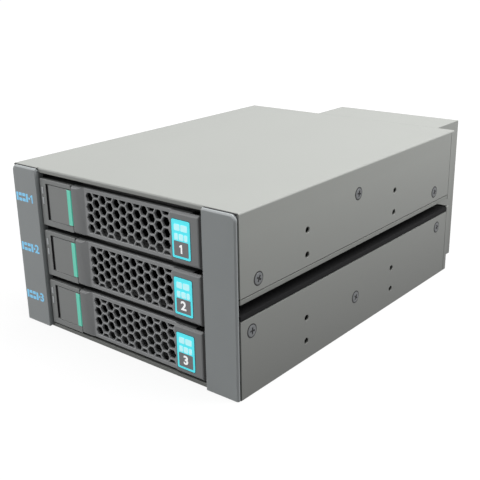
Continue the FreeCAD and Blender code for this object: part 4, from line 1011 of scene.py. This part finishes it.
rotor = {
    "at": (0.021, 0.0959, 0.0425), "front": -0.009, "blades": 7,
    "sweep": 24, "thick": 0.0012, "camber": 0.06,
    # radius, pitch in degrees and chord at a blade's two ends
    "root": (0.01625, 50, 0.0155), "tip": (0.0369, 33, 0.0220), "stations": 10, "across": 9,
    # (radius, height) in millimetres
    "cup": ((0, 0), (14.6, 0), (16.2, 0.25), (16.8, 0.8), (17.0, 1.7), (17.0, 17.7), (16.8, 18.0),
            (15.7, 18.0), (15.5, 17.7), (15.5, 1.5), (1.5, 1.5), (1.5, 18.8), (0, 18.8)),
}


def bladeMesh():
    # an aerofoil that twists, widens and leans from the cup to its tip
    stations, across = rotor["stations"], rotor["across"]
    shape = bmesh.new()
    rings = []
    for k in range(stations):
        share = k / (stations - 1)
        radius, pitch, chord = (a + share * (b - a) for a, b in zip(rotor["root"], rotor["tip"]))
        tilt, lean = math.radians(pitch), math.radians(share * rotor["sweep"])
        walk = [(i / across, 1) for i in range(across + 1)]
        walk += [(i / across, -1) for i in range(across - 1, 0, -1)]
        ring = []
        for run, side in walk:
            thick = rotor["thick"] / 2 * math.sqrt(max(0.0, 1 - (2 * run - 0.85) ** 2 / 1.4))
            bow = 4 * run * (1 - run) * rotor["camber"] * chord
            along, rise = (run - 0.5) * chord, side * thick + bow
            x = along * math.cos(tilt) - rise * math.sin(tilt)
            y = along * math.sin(tilt) + rise * math.cos(tilt)
            out = math.sqrt(max(radius ** 2 - x ** 2, 0.0))
            ring.append(shape.verts.new((x * math.cos(lean) + out * math.sin(lean), y,
                                         out * math.cos(lean) - x * math.sin(lean))))
        rings.append(ring)
    for low, high in zip(rings, rings[1:]):
        for i in range(len(low)):
            j = (i + 1) % len(low)
            shape.faces.new((low[i], low[j], high[j], high[i]))
    shape.faces.new(rings[0][::-1])
    shape.faces.new(rings[-1])
    bmesh.ops.recalc_face_normals(shape, faces=shape.faces)
    return shadedMesh(shape, "blade", flow=50)


def drawRotor():
    place = Vector(rotor["at"])
    cup = lathed([(radius / 1000, height / 1000) for radius, height in rotor["cup"]], "cup", 64)
    front = Matrix.Translation(place + Vector((0, rotor["front"], 0)))
    cup.transform(front @ Matrix.Rotation(math.radians(-90), 4, "X"))
    piece = dressedPiece("rotor_cup", cup, "fan_rotor", finishes["black_plastic"])
    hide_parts("fan_rotor")
    spots = [(place, (0, math.tau * i / rotor["blades"], 0), (1, 1, 1)) for i in range(rotor["blades"])]
    repeated("rotor_blades", bladeMesh(), spots, "fan_rotor", "black_plastic")


guard = {"at": (0.021, 0.0425), "rings": (0.0374, 0.0279, 0.0184, 0.0089), "wire": 0.0006, "eye": 0.0030,
         "ringPlane": 0.1116, "barPlane": 0.1114, "shortestBar": 0.09}


def wireMesh(points, closed, thickness):
    curve = bpy.data.curves.new("wire", "CURVE")
    curve.dimensions = "3D"
    curve.bevel_depth = thickness
    curve.bevel_resolution = 2
    curve.use_fill_caps = True
    spline = curve.splines.new("POLY")
    spline.points.add(len(points) - 1)
    for point, spot in zip(spline.points, points):
        point.co = (*spot, 1.0)
    spline.use_cyclic_u = closed
    return meshOfCurve(curve)


def drawGuard():
    x, z = guard["at"]
    corners = [((low.x + high.x) / 2, (low.z + high.z) / 2) for low, high in solidBoxes("fan_screws")]
    circles = [(x, z, radius, guard["ringPlane"]) for radius in guard["rings"]]
    circles += [(a, c, guard["eye"], guard["barPlane"]) for a, c in corners]
    wires = []
    for a, c, radius, plane in circles:
        steps = 72 if radius > guard["eye"] else 24
        turns = [math.tau * i / steps for i in range(steps)]
        circle = [(a + radius * math.cos(t), plane, c + radius * math.sin(t)) for t in turns]
        wires.append(wireMesh(circle, True, guard["wire"]))
    for (a, c), (b, d) in ((corners[i], corners[j]) for i in range(4) for j in range(i)):
        reach = math.hypot(b - a, d - c)
        if reach > guard["shortestBar"]:
            cut = guard["eye"] / reach
            ends = [(a + (b - a) * share, guard["barPlane"], c + (d - c) * share)
                    for share in (cut, 1 - cut)]
            wires.append(wireMesh(ends, False, guard["wire"]))
    piece = dressedPiece("wire_guard", joined(wires, "guard"), "cage", finishes["guard_wire"])
    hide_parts("finger_guard")


def drawSpring(tray):
    # a latch's folded leaf
    node = f"latch_spring_{tray}"
    low, high = (Vector(corner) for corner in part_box(node))
    slide = next(joint for joint in frame["joints"] if joint["name"] == f"latch_slide_{tray}")
    mesh = shadedMesh(cleaned(node), "leaf")
    piece = dressedPiece(f"latch_leaf_{tray}", mesh, bodyOf[node], finishes["spring_steel"])
    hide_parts(node)
    1 - slide["range_m"][1] / (high.x - low.x)
    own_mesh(piece)


drawRotor()
drawGuard()
for tray in trays:
    drawSpring(tray)
print("fan and springs are drawn")


# ---- contacts in the sockets, and the small parts on the board's back

contacts = {
    "data_sockets": {"pitch": 0.00127, "count": 8, "strip": (0.00060, 0.00016), "tongue": 0.0005},
    "power_sockets": {"pitch": 0.00210, "count": 8, "strip": (0.00110, 0.00016), "tongue": 0.0005},
    "fan_header": {"pitch": 0.00127, "count": 3, "strip": (0.00060, 0.00016), "tongue": 0.0005},
    "drive_sockets": {"pitch": 0.00127, "count": 29, "strip": (0.00070, 0.00020), "floor": 0.0018},
}
# how far a strip's two ends stay inside its socket, on a floor and on a tongue
stripEnds = {"floor": (0.0003, 0.0020), "tongue": (0.0010, 0.0024)}


def unitBar(corner):
    return inlay(roundedOutline(-0.5, 0.5, -0.5, 0.5, corner, 2), 0.5, -0.5)


def contactsIn(node):
    row = contacts[node]
    wide, thick = row["strip"]
    front, rear = stripEnds["floor" if "floor" in row else "tongue"]
    spots = []
    for low, high in solidBoxes(node):
        middle = (low + high) / 2
        start, end = low.y + front, high.y - rear
        if "floor" in row:
            levels = (low.z + row["floor"],)
        else:
            levels = (middle.z - row["tongue"], middle.z + row["tongue"])
        for level in levels:
            for i in range(row["count"]):
                x = middle.x + (i - (row["count"] - 1) / 2) * row["pitch"]
                spots.append((Vector((x, (start + end) / 2, level)), (0, 0, 0), (wide, end - start, thick)))
    repeated(f"{node}_contacts", unitBar(0.2), spots, "cage", "contact")


boardParts = {
    "cans": {"spots": ((-0.0225, 0.0105), (-0.0225, 0.0335), (-0.0225, 0.0515), (-0.0225, 0.0745),
                       (-0.0135, 0.0105), (-0.0135, 0.0745)),
             "profile": ((0, -0.1), (2.6, -0.1), (2.6, 0.5), (2.5, 0.7), (2.5, 5.6), (2.3, 5.9), (0, 5.9))},
    "chips": {"columns": (-0.0515, -0.0495, -0.0185), "rows": 15, "first": 0.0065, "pitch": 0.0052,
              "size": (0.0009, 0.0007, 0.0017)},
}


def fillBoard():
    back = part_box("backplane_board")[1][1]
    cans, chips = boardParts["cans"], boardParts["chips"]
    can = lathed([(radius / 1000, height / 1000) for radius, height in cans["profile"]], "can", 24)
    spots = [(Vector((x, back, z)), tuple(aims["+y"]), (1, 1, 1)) for x, z in cans["spots"]]
    repeated("board_cans", can, spots, "cage", "guard_wire")
    middle = back + chips["size"][1] / 2
    spots = [(Vector((x, middle, chips["first"] + i * chips["pitch"])), (0, 0, 0), chips["size"])
             for x in chips["columns"] for i in range(chips["rows"])]
    repeated("board_chips", unitBar(0.12), spots, "cage", "socket_plastic")


for node in contacts:
    contactsIn(node)
fillBoard()
print("contacts and board parts are on")
